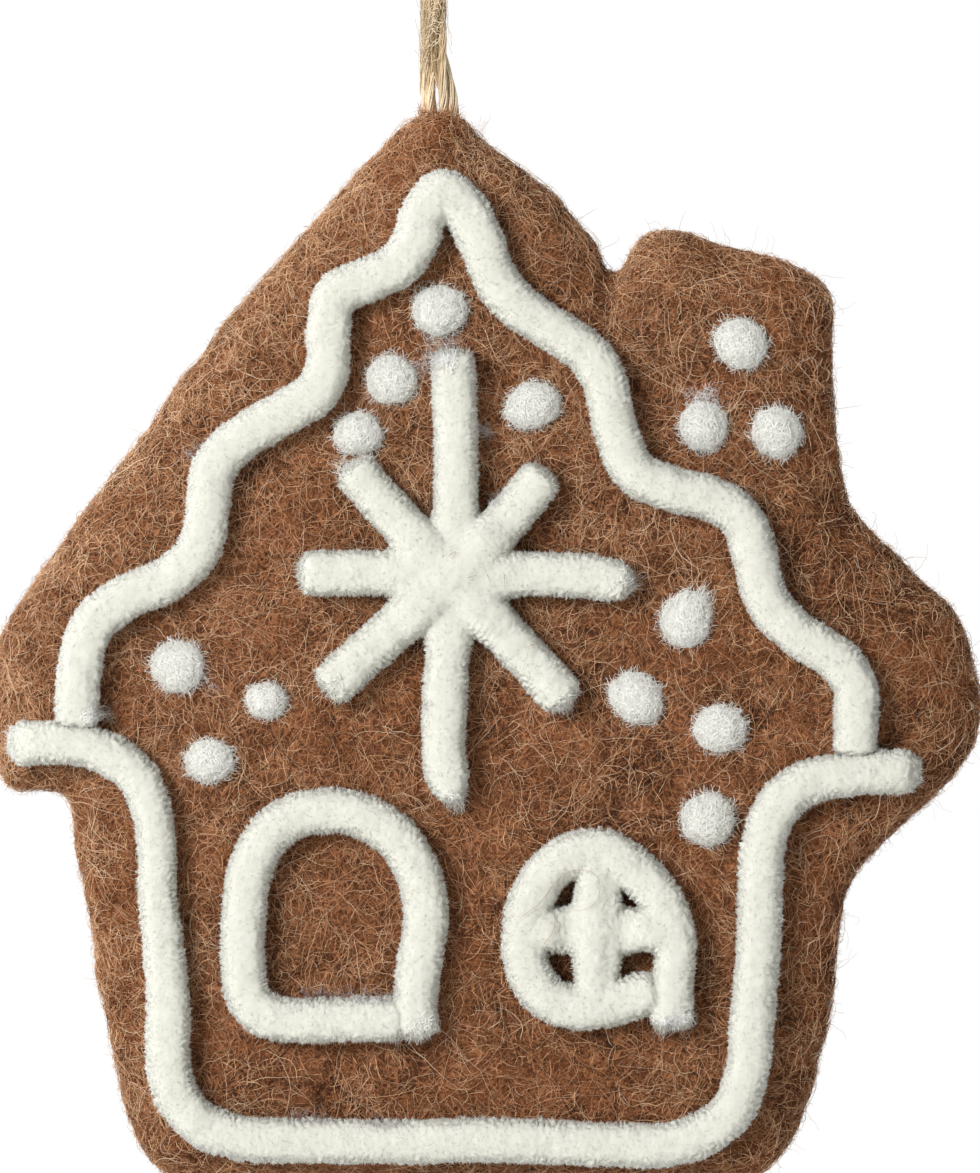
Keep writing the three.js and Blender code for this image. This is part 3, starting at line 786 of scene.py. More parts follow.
def wander_flat(starts, lengths, steps, curl, random, lay=0):
    """Such paths on the plane of the picture. Starts and paths are X and Z."""
    flat = np.insert(starts, 1, 0, axis=1)
    up = np.broadcast_to(TOWARDS_VIEWER, flat.shape)
    return wander(flat, up, lengths, steps, curl, random, lay)[..., ::2]


def lay_on(tree, paths, heights):
    """The paths moved onto a surface, each point this high above it, and which way it faces there."""
    spots = np.empty((paths.shape[0] * paths.shape[1], 3))
    facing = np.empty_like(spots)
    for n, point in enumerate(paths.reshape(-1, 3)):
        spots[n], facing[n] = tree.find_nearest(point)[:2]
    facing = facing.reshape(paths.shape)
    return spots.reshape(paths.shape) + facing * heights[..., None], facing


TIP_SHARE = 0.45
MOST_TRIANGLES = 200000


def add_fibres(name, paths, widths, up, tints, material):
    """Fibres that get thinner towards their tips, as pieces of not too many triangles each."""
    steps = paths.shape[1]
    most = MOST_TRIANGLES // (6 * (steps - 1) + 2)
    taper = 1 - (1 - TIP_SHARE) * np.linspace(0, 1, steps) ** 2
    radii = widths[:, None] / 2 * taper
    up = np.broadcast_to(up, paths.shape)
    for number, first in enumerate(range(0, len(paths), most), 1):
        some = slice(first, first + most)
        shape = tubes(paths[some], radii[some], 3, up[some], tints[some])
        add_piece(f"{name}_{number}", shape, material)


def add_unbroken(name, paths, widths, up, tints, material):
    """Fibres of the felt, without those that have uneven steps because they jump across a fold."""
    steps = np.linalg.norm(np.diff(paths, axis=1), axis=2)
    whole = steps.max(axis=1) < 1.8 * np.median(steps, axis=1)
    add_fibres(name, paths[whole], widths[whole], up[whole], tints[whole], material)


# %% [markdown]
# The icing's routes come first, because the felt beside a cord is painted paler: painted light that stands in
# for the light the white pile throws on it.

# %% The icing's routes, by pixel
CORD_PIXELS = {
    "roof_icing": [
        (80, 728), (82, 680), (88, 643), (102, 617), (130, 597), (165, 582), (192, 562), (206, 535),
        (211, 500), (214, 475), (229, 451), (262, 427), (295, 409), (318, 393), (329, 368), (330, 330),
        (338, 297), (367, 283), (398, 268), (415, 245), (425, 216), (443, 196), (463, 210), (480, 240),
        (494, 278), (519, 309), (558, 335), (592, 361), (605, 389), (615, 433), (634, 473), (672, 490),
        (711, 500), (740, 520), (752, 555), (765, 601), (795, 634), (833, 658), (852, 686), (853, 714),
        (852, 756),
    ],
    "wall_icing": [
        (12, 742), (40, 742), (80, 743), (113, 754), (139, 775), (152, 801), (159, 842), (161, 900),
        (167, 955), (171, 1010), (171, 1058), (179, 1092), (202, 1119), (239, 1134), (290, 1137),
        (400, 1138), (500, 1137), (610, 1141), (668, 1141), (704, 1129), (732, 1104), (745, 1067),
        (750, 1018), (756, 950), (758, 885), (761, 844), (775, 805), (804, 782), (845, 773), (885, 770),
        (916, 770),
    ],
    "door_icing": [
        (405, 1015), (340, 1017), (290, 1017), (263, 1009), (250, 991), (245, 955), (246, 915),
        (252, 869), (268, 836), (296, 815), (328, 809), (364, 815), (393, 832), (412, 857), (424, 888),
        (426, 920), (421, 958), (416, 996), (418, 1034),
    ],
    "window_icing": [
        (669, 1024), (671, 980), (674, 940), (663, 903), (642, 877), (620, 858), (598, 848), (570, 854),
        (546, 871), (531, 898), (524, 935), (528, 968), (544, 992), (570, 1004), (600, 1003),
        (627, 996), (657, 985),
    ],
    "window_cross_bar": [(526, 928), (596, 928), (675, 928)],
    "window_upright_bar": [(596, 1004), (596, 928), (597, 848)],
    "star_upright": [
        (453, 353), (456, 440), (456, 511), (452, 577), (449, 639), (445, 700), (445, 760), (450, 783),
        (456, 799),
    ],
    "star_cross": [(302, 573), (380, 573), (452, 576), (540, 574), (590, 577), (629, 583)],
    "star_diagonal_a": [(352, 467), (399, 521), (452, 578), (495, 624), (536, 667), (567, 701)],
    "star_diagonal_b": [(545, 473), (501, 527), (452, 576), (401, 623), (362, 657), (328, 690)],
}
cord_lines = {name: even_line(smooth_line(places(pixels)), 0.3 * MM) for name, pixels in CORD_PIXELS.items()}
print({name: round(length_along(line)[-1] / MM) for name, line in cord_lines.items()})

# %% [markdown]
# The mat is where most of the work is: tens of thousands of fibres a few millimetres long, that dive in
# and out of the skin. Wool lies in tufts, so neighbours lean the same way for a stretch, and some tufts
# are darker than others.

# %% The mat of short fibres
def tufts(starts, size, seed):
    """A direction that changes slowly from place to place."""
    return np.stack([soft_noise(starts, size, seed + n) for n in range(3)], axis=1)


MAT_ARCH = np.array([0.1, 0.8, 1.0, 0.8, 0.2])
PAINTED_BOUNCE_REACH = 4.2 * MM
faces_front = skin_facing[:, 1] < 0.5
front_squares = skin_corners[faces_front[skin_corners[:, 0]]]
back_squares = skin_corners[~faces_front[skin_corners[:, 0]]]
random = np.random.default_rng(21)
short_fibre = fibre_material("felt_short_fibres", "3C1E0C", "AE7349", "F5CCA3", "B06C40", 0.4, 110.0)

for name, squares, count in (("mat_front", front_squares, 72000), ("mat_back", back_squares, 12500)):
    starts, facing = places_on(skin, skin_facing, squares, count, random)
    lay = 0.9 * tufts(starts, 7 * MM, 60)
    lengths = random.uniform(1.2, 4.2, count) * MM
    paths = wander(starts, facing, lengths, len(MAT_ARCH), 1.4, random, lay)
    heights = (random.uniform(0.02, 0.6, (count, 1)) * MAT_ARCH - 0.03) * MM
    paths, facing = lay_on(felt_tree, paths, heights)
    tints = random.normal(0.41, 0.34, count) + 0.22 * soft_noise(starts, 5 * MM, 5)
    tints += 0.08 * soft_noise(starts, 15 * MM, 6) + 0.16 * soft_noise(starts, 2 * MM, 8)
    # Painted light and shade: the upper left, where the lamp is, is painted a little paler, most of all the
    # rims that face there, and the lower right is painted darker.
    painted_light_and_shade = np.clip((starts[:, 2] - starts[:, 0] + 0.11) / 0.05, -1, 1)
    tints += np.where(painted_light_and_shade > 0, 0.05, 0.15) * painted_light_and_shade
    tints += 0.25 * np.clip(0.5 * facing[:, 0, 2] - facing[:, 0, 0], 0, 1)
    # Painted light: the front mat is painted paler near each cord, for the light its white pile throws there.
    if name == "mat_front":
        flat = starts[:, ::2]
        beside = [near_line(flat, line[::4], PAINTED_BOUNCE_REACH) for line in cord_lines.values()]
        tints += 0.2 * np.max(beside, axis=0)
    widths = random.uniform(0.042, 0.075, count) * MM
    add_unbroken(name, paths, widths, facing, np.clip(tints, 0, 1), short_fibre)

# %% Long pale hairs over the mat
HAIR_STEPS = 10
HAIR_ARCH = np.sin(np.pi * np.linspace(0, 1, HAIR_STEPS))
long_hair = fibre_material("felt_long_hairs", "9C6B48", "D6AC84", "F8E0C2", "C08A60", 0.3, 90.0)

for name, squares, count in (("hairs_front", front_squares, 6600), ("hairs_back", back_squares, 1800)):
    starts, facing = places_on(skin, skin_facing, squares, count, random)
    lengths = (2 + 9 * random.random(count) ** 2.6) * MM
    curl = np.where(random.random(count) < 0.3, 2.4, 1.1)
    lay = 0.5 * tufts(starts, 9 * MM, 60)
    paths = wander(starts, facing, lengths, HAIR_STEPS, curl[:, None], random, lay)
    heights = (0.15 + random.uniform(0.1, 0.8, (count, 1)) * HAIR_ARCH) * MM
    paths, facing = lay_on(felt_tree, paths, heights)
    tints = random.beta(2, 2, count)
    add_unbroken(name, paths, random.uniform(0.04, 0.068, count) * MM, facing, tints, long_hair)

# %% [markdown]
# At the outline the fibres stand off the felt, and make it look soft against the light. Most are shorter
# than a millimetre and lean over. A few long curly ones have worked loose, most of them on the right.

# %% Fuzz that stands off the skin
def stand_up(starts, facing, lengths, steps, lean, random):
    """Paths that leave the surface upright and lean over to one side."""
    aside = unit(np.cross(facing, random.normal(size=facing.shape)))
    angle = lean[:, None] * np.linspace(0.5, 1.4, steps)
    angle = angle + np.cumsum(random.normal(size=(len(starts), steps)), axis=1) * 0.4
    moves = (lengths / (steps - 1))[:, None, None] * around(angle, facing[:, None], aside[:, None])
    moves[:, 0] = 0
    return starts[:, None] + np.cumsum(moves, axis=1), aside


from_side = np.abs(skin_facing[skin_corners[:, 0], 1])
right_half = skin[skin_corners[:, 0], 0] > 12 * MM
# Each kind: where its roots are, how many, shortest and longest in mm, points of a path, and thickness in mm.
FUZZ = {
    "fuzz_edge": (from_side < 0.5, 14000, 0.2, 0.8, 3, 0.05),
    "fuzz_rim": ((from_side > 0.4) & (from_side < 0.85), 5000, 0.3, 0.9, 3, 0.05),
    "fuzz_faces": (from_side > 0.85, 2600, 0.3, 1.2, 4, 0.05),
    "strays_right": ((from_side < 0.5) & right_half, 170, 1.0, 4.2, 9, 0.04),
    "strays_left": ((from_side < 0.5) & ~right_half, 70, 0.8, 2.6, 9, 0.04),
}
for name, (where, count, shortest, longest, steps, thickness) in FUZZ.items():
    starts, facing = places_on(skin, skin_facing, skin_corners[where], count, random)
    lengths = (shortest + (longest - shortest) * random.random(count) ** 2) * MM
    lean = np.radians(random.uniform(15, 85, count))
    paths, aside = stand_up(starts, facing, lengths + FIBRE_LAYER, steps, lean, random)
    tints = random.beta(1.5, 2, count)
    widths = random.uniform(0.7, 1.2, count) * thickness * MM
    add_fibres(name, paths, widths, np.cross(aside, facing)[:, None], tints, long_hair)

# %% [markdown]
# ## Chenille cord
#
# Chenille is a thin twisted core that holds a dense brush of short pile, so it looks like a plush tube.
# A bevelled curve would be smooth and round all the way. Here each cord is rings round its route. The
# underside follows the pillow, and the top keeps its height. Cords that touch are then fused by voxel
# remeshing, as their pile closes over the joint in the real one, and short pile stands on them everywhere.
#
# Where cords cross, each is pressed flat and lies on the one below. In the window the lower bar dips under
# the upper one. Four cords meet in the star: there the pile of all of them closes over the crossing, so
# that they look pressed into one another, and only the last one is still a little higher than the rest.

# %% Crossings
STAR_CENTRE = np.array(place(452, 577))
WINDOW_CENTRE = np.array(place(596, 928))
CORD_HEIGHT = 4.4 * MM
# Each crossing: its centre, how far it reaches, how thick a cord is there, and how far the next one rises.
STAR_PRESS = (STAR_CENTRE, 9.0 * MM, CORD_HEIGHT, 0.35 * MM)
WINDOW_PRESS = (WINDOW_CENTRE, 5.2 * MM, 3.4 * MM, 1.0 * MM)
PRESSES = {
    "window_cross_bar": (WINDOW_PRESS, 0),
    "window_upright_bar": (WINDOW_PRESS, 1),
    "star_upright": (STAR_PRESS, 0),
    "star_cross": (STAR_PRESS, 1),
    "star_diagonal_a": (STAR_PRESS, 2),
    "star_diagonal_b": (STAR_PRESS, 3),
}
CORD_WIDTH = 5.05 * MM
CORD_GAP = 0.3 * MM
FULL_PRESS_SHARE = 0.6


def pressed_along(name, line):
    """How much of the press each point of a cord feels, how high it is there, and how far it is lifted."""
    if name not in PRESSES:
        nothing = np.zeros(len(line))
        return nothing, nothing + CORD_HEIGHT, nothing
    (centre, reach, thickness, rise), layer = PRESSES[name]
    distance = np.linalg.norm(line - centre, axis=1)
    fade = np.clip((reach - distance) / (reach * (1 - FULL_PRESS_SHARE)), 0, 1)
    share = fade**2 * (3 - 2 * fade)
    return share, CORD_HEIGHT + (thickness - CORD_HEIGHT) * share, layer * rise * share


# %% Rings of a cord
PILE_REACH = 0.16 * MM
CORD_SIDES = 28
# Wider stretches of a cord: a pixel near it, how much wider it is there, and how far that reaches.
WIDER = {
    "window_icing": [(684, 960, -0.4 * MM, 6 * MM)],
    "wall_icing": [(158, 865, -0.7 * MM, 13 * MM)],
    "roof_icing": [(440, 220, 0.4 * MM, 6 * MM)],
    "star_upright": [(457, 802, -2.2 * MM, 2 * MM)],
    "star_cross": [(631, 583, -1.1 * MM, 2 * MM)],
}
END_ROUND = 1.1 * MM
WALL_END_ROUND = 2.0 * MM
SQUARENESS = 2.6
WINDOW_GROOVE_ANGLE = math.radians(117)


def squared(shares):
    """Places on a circle, moved out towards a square with round corners."""
    return np.sign(shares) * np.abs(shares) ** (2 / SQUARENESS)


def cord_rings(name, line, seed):
    along = length_along(line)
    tangent = unit(np.gradient(line, axis=0))
    aside = np.stack([-tangent[:, 1], np.zeros(len(line)), tangent[:, 0]], axis=1)
    share, height, lift = pressed_along(name, line)
    to_end = np.minimum(along, along[-1] - along)
    end_round = WALL_END_ROUND if name == "wall_icing" else END_ROUND
    swell = np.sqrt(1 - (1 - np.clip(to_end / end_round, 0.08, 1)) ** 2)
    half = (CORD_WIDTH + 0.7 * MM * share) / 2 - PILE_REACH
    for across, down, amount, reach in WIDER.get(name, ()):
        half += amount / 2 * near_line(line, np.array([place(across, down)]), reach)

    angles = full_turn(CORD_SIDES)
    facing = around(angles, aside[:, None], TOWARDS_VIEWER)
    arc = angles * CORD_WIDTH / 2
    grid = np.stack(np.broadcast_arrays(along[:, None], arc, 0 * arc), axis=-1).reshape(-1, 3)
    lumps = 0.1 * soft_noise(grid, 3.4 * MM, seed).reshape(len(line), CORD_SIDES)
    if name == "window_upright_bar":
        lumps = lumps - 0.35 * np.exp(-(((angles - WINDOW_GROOVE_ANGLE) / 0.3) ** 2))

    sideways = (half * swell)[:, None] * squared(np.cos(angles))
    rise = swell[:, None] * squared(np.sin(angles))
    where = line[:, None] + aside[:, None, ::2] * sideways[..., None]
    seat = front_depth(line)[:, None] * (1 + rise) / 2 + front_depth(where) * (1 - rise) / 2
    bottom = (0.5 * lift - FIBRE_LAYER)[:, None]
    top = (CORD_GAP + lift + height - PILE_REACH)[:, None]
    depth = seat + bottom + (top - bottom) * (1 + rise) / 2
    rings = np.stack([where[..., 0], -depth, where[..., 1]], axis=-1)
    return rings + facing * lumps[..., None] * MM


# %% [markdown]
# The fused surface is relaxed where cords cross, until their edges melt into one another. Then it gets the
# fine cross-ridges that the brush has because its pile sits in the turns of a twisted core. Each point is
# told how far along its cord it lies, and an uneven wave of that length lifts it, least of all on top.

# %% Soft crossings
def relax(points, corners, weight, rounds):
    """Draws each point towards the middle of its neighbours, by its own weight."""
    first, second = corners.ravel(), np.roll(corners, 1, axis=1).ravel()
    count = np.bincount(first, minlength=len(points)) + np.bincount(second, minlength=len(points))
    for _ in range(rounds):
        middle = np.stack([
            np.bincount(first, axis[second], len(points)) + np.bincount(second, axis[first], len(points))
            for axis in points.T
        ], axis=1) / count[:, None]
        points = points + weight[:, None] * (middle - points)
    return points


def fade_out(points, centre, reach):
    distance = np.linalg.norm(points[:, ::2] - centre, axis=1)
    return np.clip(1.4 * (1 - distance / reach), 0, 1)


RIDGE_PITCH = 0.7 * MM
RIDGES = {"window_icing": 1.4, "star_cross": 1.3, "roof_icing": 0.9, "star_upright": 1.0}


def ridges_on(points, members, seed):
    """How high the cross-ridges of these cords are at each point, mostly from -1 to 1."""
    stations = np.concatenate([
        np.column_stack([
            cord_lines[member],
            length_along(cord_lines[member]),
            unit(np.gradient(cord_lines[member], axis=0)),
            np.full(len(cord_lines[member]), RIDGES.get(member, 1.2)),
        ]) for member in members
    ])
    station_tree = search_tree(stations[:, :2])
    nearest = stations[[station_tree.find((x, 0, z))[1] for x, y, z in points]]
    offset = points[:, ::2] - nearest[:, :2]
    along = nearest[:, 2] + (offset * nearest[:, 3:5]).sum(axis=1)
    aside = offset[:, 1] * nearest[:, 3] - offset[:, 0] * nearest[:, 4]
    turns = (along + 0.25 * aside) / RIDGE_PITCH + 0.6 * soft_noise(points, 1.5 * MM, seed)
    strength = nearest[:, 5] * np.clip(0.65 + 0.6 * soft_noise(points, 4 * MM, seed + 1), 0.1, 1.5)
    strength *= 1 - fade_out(points, STAR_CENTRE, 7 * MM)
    return strength * np.sin(2 * np.pi * turns)


def spikes(starts, tips, widths, up, tints):
    """Closed thin spikes with three sides, for pile."""
    count = len(starts)
    forward = unit(tips - starts)
    sideways = unit(np.cross(up, forward))
    spokes = around(full_turn(3), sideways[:, None], np.cross(forward, sideways)[:, None])
    base = starts[:, None] + spokes * widths[:, None, None] / 2
    number = np.arange(4 * count).reshape(count, 4)
    corners = number[:, [[0, 1, 3], [1, 2, 3], [2, 0, 3], [2, 1, 0]]].reshape(-1, 3)
    grid, cell = own_cells(count)
    side = np.array([[0.1, 0.1], [0.3, 0.1], [0.2, 0.9]])
    spots = (cell + np.array([side + [shift, 0] for shift in (0, 0.2, 0.4, 0.6)])) / grid
    return {
        "points": np.concatenate([base, tips[:, None]], axis=1).reshape(-1, 3),
        "faces": [(corners, spots.reshape(-1, 2))],
        "tint": np.repeat(tints, 4),
    }


# %% Cords that touch, fused into one surface
CORD_VOXEL = 0.22 * MM
CORD_GROUPS = {
    "roof_icing": ["roof_icing"],
    "wall_icing": ["wall_icing"],
    "door_icing": ["door_icing"],
    "window_icing": ["window_icing", "window_cross_bar", "window_upright_bar"],
    "star": ["star_upright", "star_cross", "star_diagonal_a", "star_diagonal_b"],
}
SOFTENED = {"star": (STAR_CENTRE, 8.5 * MM, 24), "window_icing": (WINDOW_CENTRE, 12 * MM, 9)}


def fused_cords(name, members, number):
    """The surface of some cords that touch, with its ridges: its points, its squares and how it faces."""
    shapes = []
    for n, member in enumerate(members):
        rings = cord_rings(member, cord_lines[member], 100 + 30 * number + 5 * n)
        shapes.append(closed_rings(rings[None], np.full(1, 0.5)))
    plush, corners = even_squares(join_shapes(shapes), CORD_VOXEL, 2)
    if name in SOFTENED:
        centre, reach, rounds = SOFTENED[name]
        plush = relax(plush, corners, fade_out(plush, centre, reach), rounds)
    facing = facing_of(plush, corners)
    on_side = 1 - np.abs(facing[:, 1])
    grain = 0.04 * soft_noise(plush, 1.3 * MM, 8, 40) + 0.03 * soft_noise(plush, 0.7 * MM, 9, 40)
    grain += 0.14 * on_side * soft_noise(plush, 0.9 * MM, 10, 40)
    grain += (0.03 + 0.19 * on_side) * ridges_on(plush, members, 70 + number)
    plush += facing * grain[:, None] * MM
    return plush, corners, facing_of(plush, corners)


def pile_tint(points):
    return 0.5 + 0.25 * soft_noise(points, 1.6 * MM, 7)


# %% Pile that stands on them
PILE_PER_SQUARE_MM = 26
SPIKES_PER_PIECE = 48000
# The cut ends that show, by the first or last point of their route.
CUT_ENDS = {
    "roof_icing": (-1,), "wall_icing": (0, -1), "door_icing": (-1,), "window_icing": (0,),
    "star_upright": (0, -1), "star_cross": (0, -1), "star_diagonal_a": (0, -1), "star_diagonal_b": (0, -1),
}


def splay_at_ends(starts, members):
    """Which way, and how much, the pile is spread at the cut ends."""
    splay = np.zeros((len(starts), 3))
    for member in members:
        line = cord_lines[member]
        for end in CUT_ENDS.get(member, ()):
            heading = unit(line[end] - line[4 if end == 0 else -5])
            away = starts[:, ::2] - line[end]
            near = np.clip(1 + away @ heading / (1.1 * MM), 0, 1) * (np.linalg.norm(away, axis=1) < 3.4 * MM)
            splay[:, ::2] += near[:, None] * heading
    return splay


def standing_pile(plush, corners, facing, members, number):
    """The roots, tips, widths, up directions and tints of a cord's pile."""
    random = np.random.default_rng(300 + number)
    upper = corners[facing[corners[:, 0], 1] < 0.55]
    count = round(PILE_PER_SQUARE_MM * len(upper) * (CORD_VOXEL / MM) ** 2)
    starts, out = places_on(plush, facing, upper, count, random)
    # On top the pile is trodden down into the surface, and only a quarter of it still stands.
    standing = random.random(count) > 0.75 * np.clip(-out[:, 1] * 3 - 1.4, 0, 1)
    starts, out = starts[standing], out[standing]
    count = len(starts)
    splay = splay_at_ends(starts, members)
    reach = 1.45 * PILE_REACH * random.uniform(0.5, 1.3, (count, 1))
    reach *= 1 + 0.3 * np.clip(ridges_on(starts, members, 70 + number), -1, 1)[:, None]
    # At the sides it stands in tufts, longer and shorter ones, whose fibres lean together.
    side = (1 - np.abs(out[:, 1:2])) * np.clip(soft_noise(starts, 0.8 * MM, 90 + number, 40), -1, 2)[:, None]
    reach *= 1 + 0.6 * side
    reach *= 1 + 2.4 * np.linalg.norm(splay, axis=1, keepdims=True) * random.random((count, 1)) ** 2
    lean = 0.3 * tufts(starts, 0.9 * MM, 600) + 0.25 * random.normal(size=out.shape)
    tips = starts + reach * unit(out + splay + lean)
    up = unit(np.cross(out, random.normal(size=out.shape)))
    tints = np.clip(pile_tint(starts) + random.normal(0, 0.12, count), 0, 1)
    return starts - 0.08 * MM * out, tips, random.uniform(0.1, 0.16, count) * MM, up, tints


# %% The cords
chenille = fibre_material("chenille", "C7C7BD", "CFCFC5", "D8D8CE", "CBCBC0", 0.4, 70.0)
chenille_pile = fibre_material("chenille_pile", "CECEC4", "D6D6CC", "DDDDD4", "D0D0C5", 0.4, 70.0)
for material in (chenille, chenille_pile):
    # Light goes a little way into the pile, and comes out again beside the place it went in.
    set_shader(material, {
        "Subsurface Weight": 0.5, "Subsurface Radius": (1.0, 0.95, 0.85), "Subsurface Scale": 0.7 * MM,
    })
cord_surfaces = []
for number, (name, members) in enumerate(CORD_GROUPS.items()):
    plush, corners, facing = fused_cords(name, members, number)
    spots = flat_spots(plush, corners, facing)
    shape = {"points": plush, "faces": [(corners, spots)], "tint": np.clip(pile_tint(plush), 0, 1)}
    nodes = [f"{member}_{part}" for member in members for part in ("pile", "core")]
    add_piece(name, shape, chenille, nodes)
    cord_surfaces.append(shape)

    pile = standing_pile(plush, corners, facing, members, number)
    for part, first in enumerate(range(0, len(pile[0]), SPIKES_PER_PIECE), 1):
        shape = spikes(*(row[first:first + SPIKES_PER_PIECE] for row in pile))
        add_piece(f"{name}_plush_{part}", shape, chenille_pile)

# %% [markdown]
# ## Sugar dots
#
# Each dot is a tuft of white wool, rolled to a ball and needled flat into the felt. It is a low dome with
# fibres wound over it in all directions, and a few reach out over the brown. A cooler white than the
# cords', because nothing has yellowed it.

# %% Where the dots are, and how high they stand
# Each dot: its pixel, half its width and half its height in pixels, and how far it is turned in degrees.
DOT_PIXELS = [
    (440, 312, 29, 25.5, 0), (392, 381, 26.5, 25, 0), (359, 435, 24.5, 22.5, 0), (532, 407, 29, 23.5, 20),
    (739, 345, 28, 25, -40), (702, 427, 25, 25, 0), (775, 433, 26, 26.5, 0), (685, 619, 30, 26, 70),
    (635, 697, 29.5, 25, -40), (718, 728, 27.5, 24, 0), (706, 818, 28, 27, 0), (180, 666, 27.5, 26.5, 0),
    (268, 700, 21, 18.5, 0), (211, 760, 25.5, 22, 0),
]
DOT_HEIGHT = 1.6 * MM


def dome(share):
    """How much of the dot's height is left at a share of its radius."""
    return np.clip(1 - np.clip(share, 0, 1) ** 2.8, 0, 1) ** 0.75


def uneven(angles, number):
    """How far a dot's outline lies at each angle, as a share of its radius: no tuft is quite round."""
    waves = ((2, 5, 0.015), (3, 1, 0.025), (5, 3, 0.025), (8, 2, 0.03))
    return 1 + sum(size * np.sin(turns * angles + start * number) for turns, start, size in waves)


def turned_oval(half_wide, half_high, degrees):
    """The two axes of an oval dot, in metres, as rows."""
    turn = math.radians(degrees)
    wide = half_wide * width_per_pixel * np.array([math.cos(turn), math.sin(turn)])
    high = half_high * width_per_pixel * np.array([-math.sin(turn), math.cos(turn)])
    return np.array([wide, high])


def on_dot(plan, centre, axes, extra, edge=1.0):
    """Points over a dot or the felt beside it, this much above it. The plan shows a circle of radius 1."""
    where = centre + plan @ axes
    depth = front_depth(where) + DOT_HEIGHT * dome(np.linalg.norm(plan, axis=-1) / edge) + extra
    return np.stack([where[..., 0], -depth, where[..., 1]], axis=-1)


# %% A ball of wool, the fibres wound over it, and the fine ends round it
DOT_STEPS = 5
RIM_FIBRES = 380


def wool_ball(centre, axes, number):
    """A low dome whose rim goes down into the felt."""
    shares = np.array([0.9, 0.96, 1.0, 0.97, 0.9, 0.8, 0.68, 0.55, 0.42, 0.3, 0.18, 0.06])
    angles = np.linspace(0, 2 * np.pi, 48, endpoint=False)
    ragged = uneven(angles, number)
    plan = round_about(angles, 0.8 * shares[:, None] * ragged)
    rings = on_dot(plan, centre, axes, -0.36 * MM, ragged)
    rings[:2, :, 1] = -front_depth(centre + plan[:2] @ axes) + np.array([[0.9], [0.1]]) * MM
    rings[..., 1] -= 0.12 * MM * soft_noise(rings.reshape(-1, 3), 1.4 * MM, number).reshape(rings.shape[:2])
    return closed_rings(rings[None], np.full(1, 0.5), window=(0, 0, 1, 0.3))


def wound_wool(centre, axes, number, count, random):
    """Fibres that run over the ball in all directions."""
    starts = round_about(random.uniform(0, 2 * np.pi, count), 0.9 * np.sqrt(random.random(count)))
    lengths = random.uniform(0.9, 3.4, count) * MM
    paths = wander_flat(centre + starts @ axes, lengths, DOT_STEPS, 2.2, random)
    # Past the rim most fibres are held back, and only a few stray over the brown felt.
    plan = (paths - centre) @ np.linalg.inv(axes)
    share = np.linalg.norm(plan, axis=-1, keepdims=True)
    limit = 0.88 * uneven(np.arctan2(plan[..., 1:], plan[..., :1]), number)
    held = np.where(random.random((count, 1, 1)) < 0.2, 0.45, 0.15)
    plan = plan * np.where(share > limit, (limit + (share - limit) * held) / share, 1)
    arch = np.sin(np.pi * np.linspace(0.05, 0.95, DOT_STEPS))
    paths = on_dot(plan, centre, axes, (random.uniform(0, 0.62, (count, 1)) * arch - 0.2) * MM, limit[..., 0])
    radii = random.uniform(0.021, 0.037, (count, 1)) * MM
    return tubes(paths, radii, 3, TOWARDS_VIEWER, random.beta(2, 1.5, count), (0, 0.3, 1, 0.8))


def rim_wool(centre, axes, number, count, random):
    """Fine ends that stand out of the rim all round."""
    turns = random.uniform(0, 2 * np.pi, (count, 1))
    along = np.linspace(0, 1, 4)
    roots = round_about(turns, random.uniform(0.7, 0.9, (count, 1)) * uneven(turns, number))
    reach = (0.12 + 0.34 * random.random((count, 1)) ** 2) * along
    aims = turns + random.normal(0, 0.6, (count, 1)) + random.normal(0, 0.8, (count, 1)) * along
    heights = 0.05 + random.uniform(0, 0.4, (count, 1)) * along
    paths = on_dot(roots + round_about(aims, reach), centre, axes, heights * MM)
    radii = random.uniform(0.014, 0.025, (count, 1)) * MM
    return tubes(paths, radii, 3, TOWARDS_VIEWER, random.beta(2, 1.5, count), (0, 0.8, 1, 1))


# %% The dots
# The ball is painted grey, as painted shade in the gaps between the white fibres wound over it.
sugar = fibre_material("sugar_wool", "BFC0B9", "CED0C9", "DBDCD6", "C8C9C2", 0.3, 300.0)
draw_fibres(sugar, "F8F8F2", 4200.0, 0.1 * MM)
white_fibre = fibre_material("sugar_fibres", "F4F4ED", "FFFFF9", "FFFFFB", "F8F8F1", 0.3, 300.0)
for material in (sugar, white_fibre):
    # Wool glows at its edges, where the eye looks along many fine ends.
    set_shader(material, {"Sheen Weight": 0.3, "Sheen Roughness": 0.6})
dot_surfaces = []
random = np.random.default_rng(41)
for number, (across_pixel, down_pixel, half_wide, half_high, degrees) in enumerate(DOT_PIXELS, 1):
    centre = np.array(place(across_pixel, down_pixel))
    axes = turned_oval(half_wide, half_high, degrees)
    ball = wool_ball(centre, axes, number)
    wound = wound_wool(centre, axes, number, round(1.9 * half_wide * half_high), random)
    rim = rim_wool(centre, axes, number, RIM_FIBRES, random)
    piece = add_piece(f"dot_{number:02d}", join_shapes([ball, wound, rim]), white_fibre,
                      [f"sugar_dot_{number:02d}"])
    piece.data.materials.append(sugar)
    kinds = np.zeros(len(piece.data.polygons), np.int32)
    kinds[:sum(len(corners) for corners, spots in ball["faces"])] = 1
    piece.data.polygons.foreach_set("material_index", kinds)
    dot_surfaces.append(ball)

# %% [markdown]
# ## Strays
#
# What makes it look handmade lies on top of everything: hairs of the felt that blew over a cord, wisps of
# dried glue beside the cords, and cut ends where the pile was pulled out. Each is drawn where it is on the
# real one. A stray rests on whatever stands highest below it, and spans the gaps like a thread that is
# pulled over a tube.

# %% Strays laid over the whole front
cover = join_shapes([felt_shape] + cord_surfaces + dot_surfaces)
cover_corners = np.vstack([corners for corners, spots in cover["faces"] if corners.shape[1] == 4])
cover_tree = BVHTree.FromPolygons(cover["points"].tolist(), cover_corners.tolist())


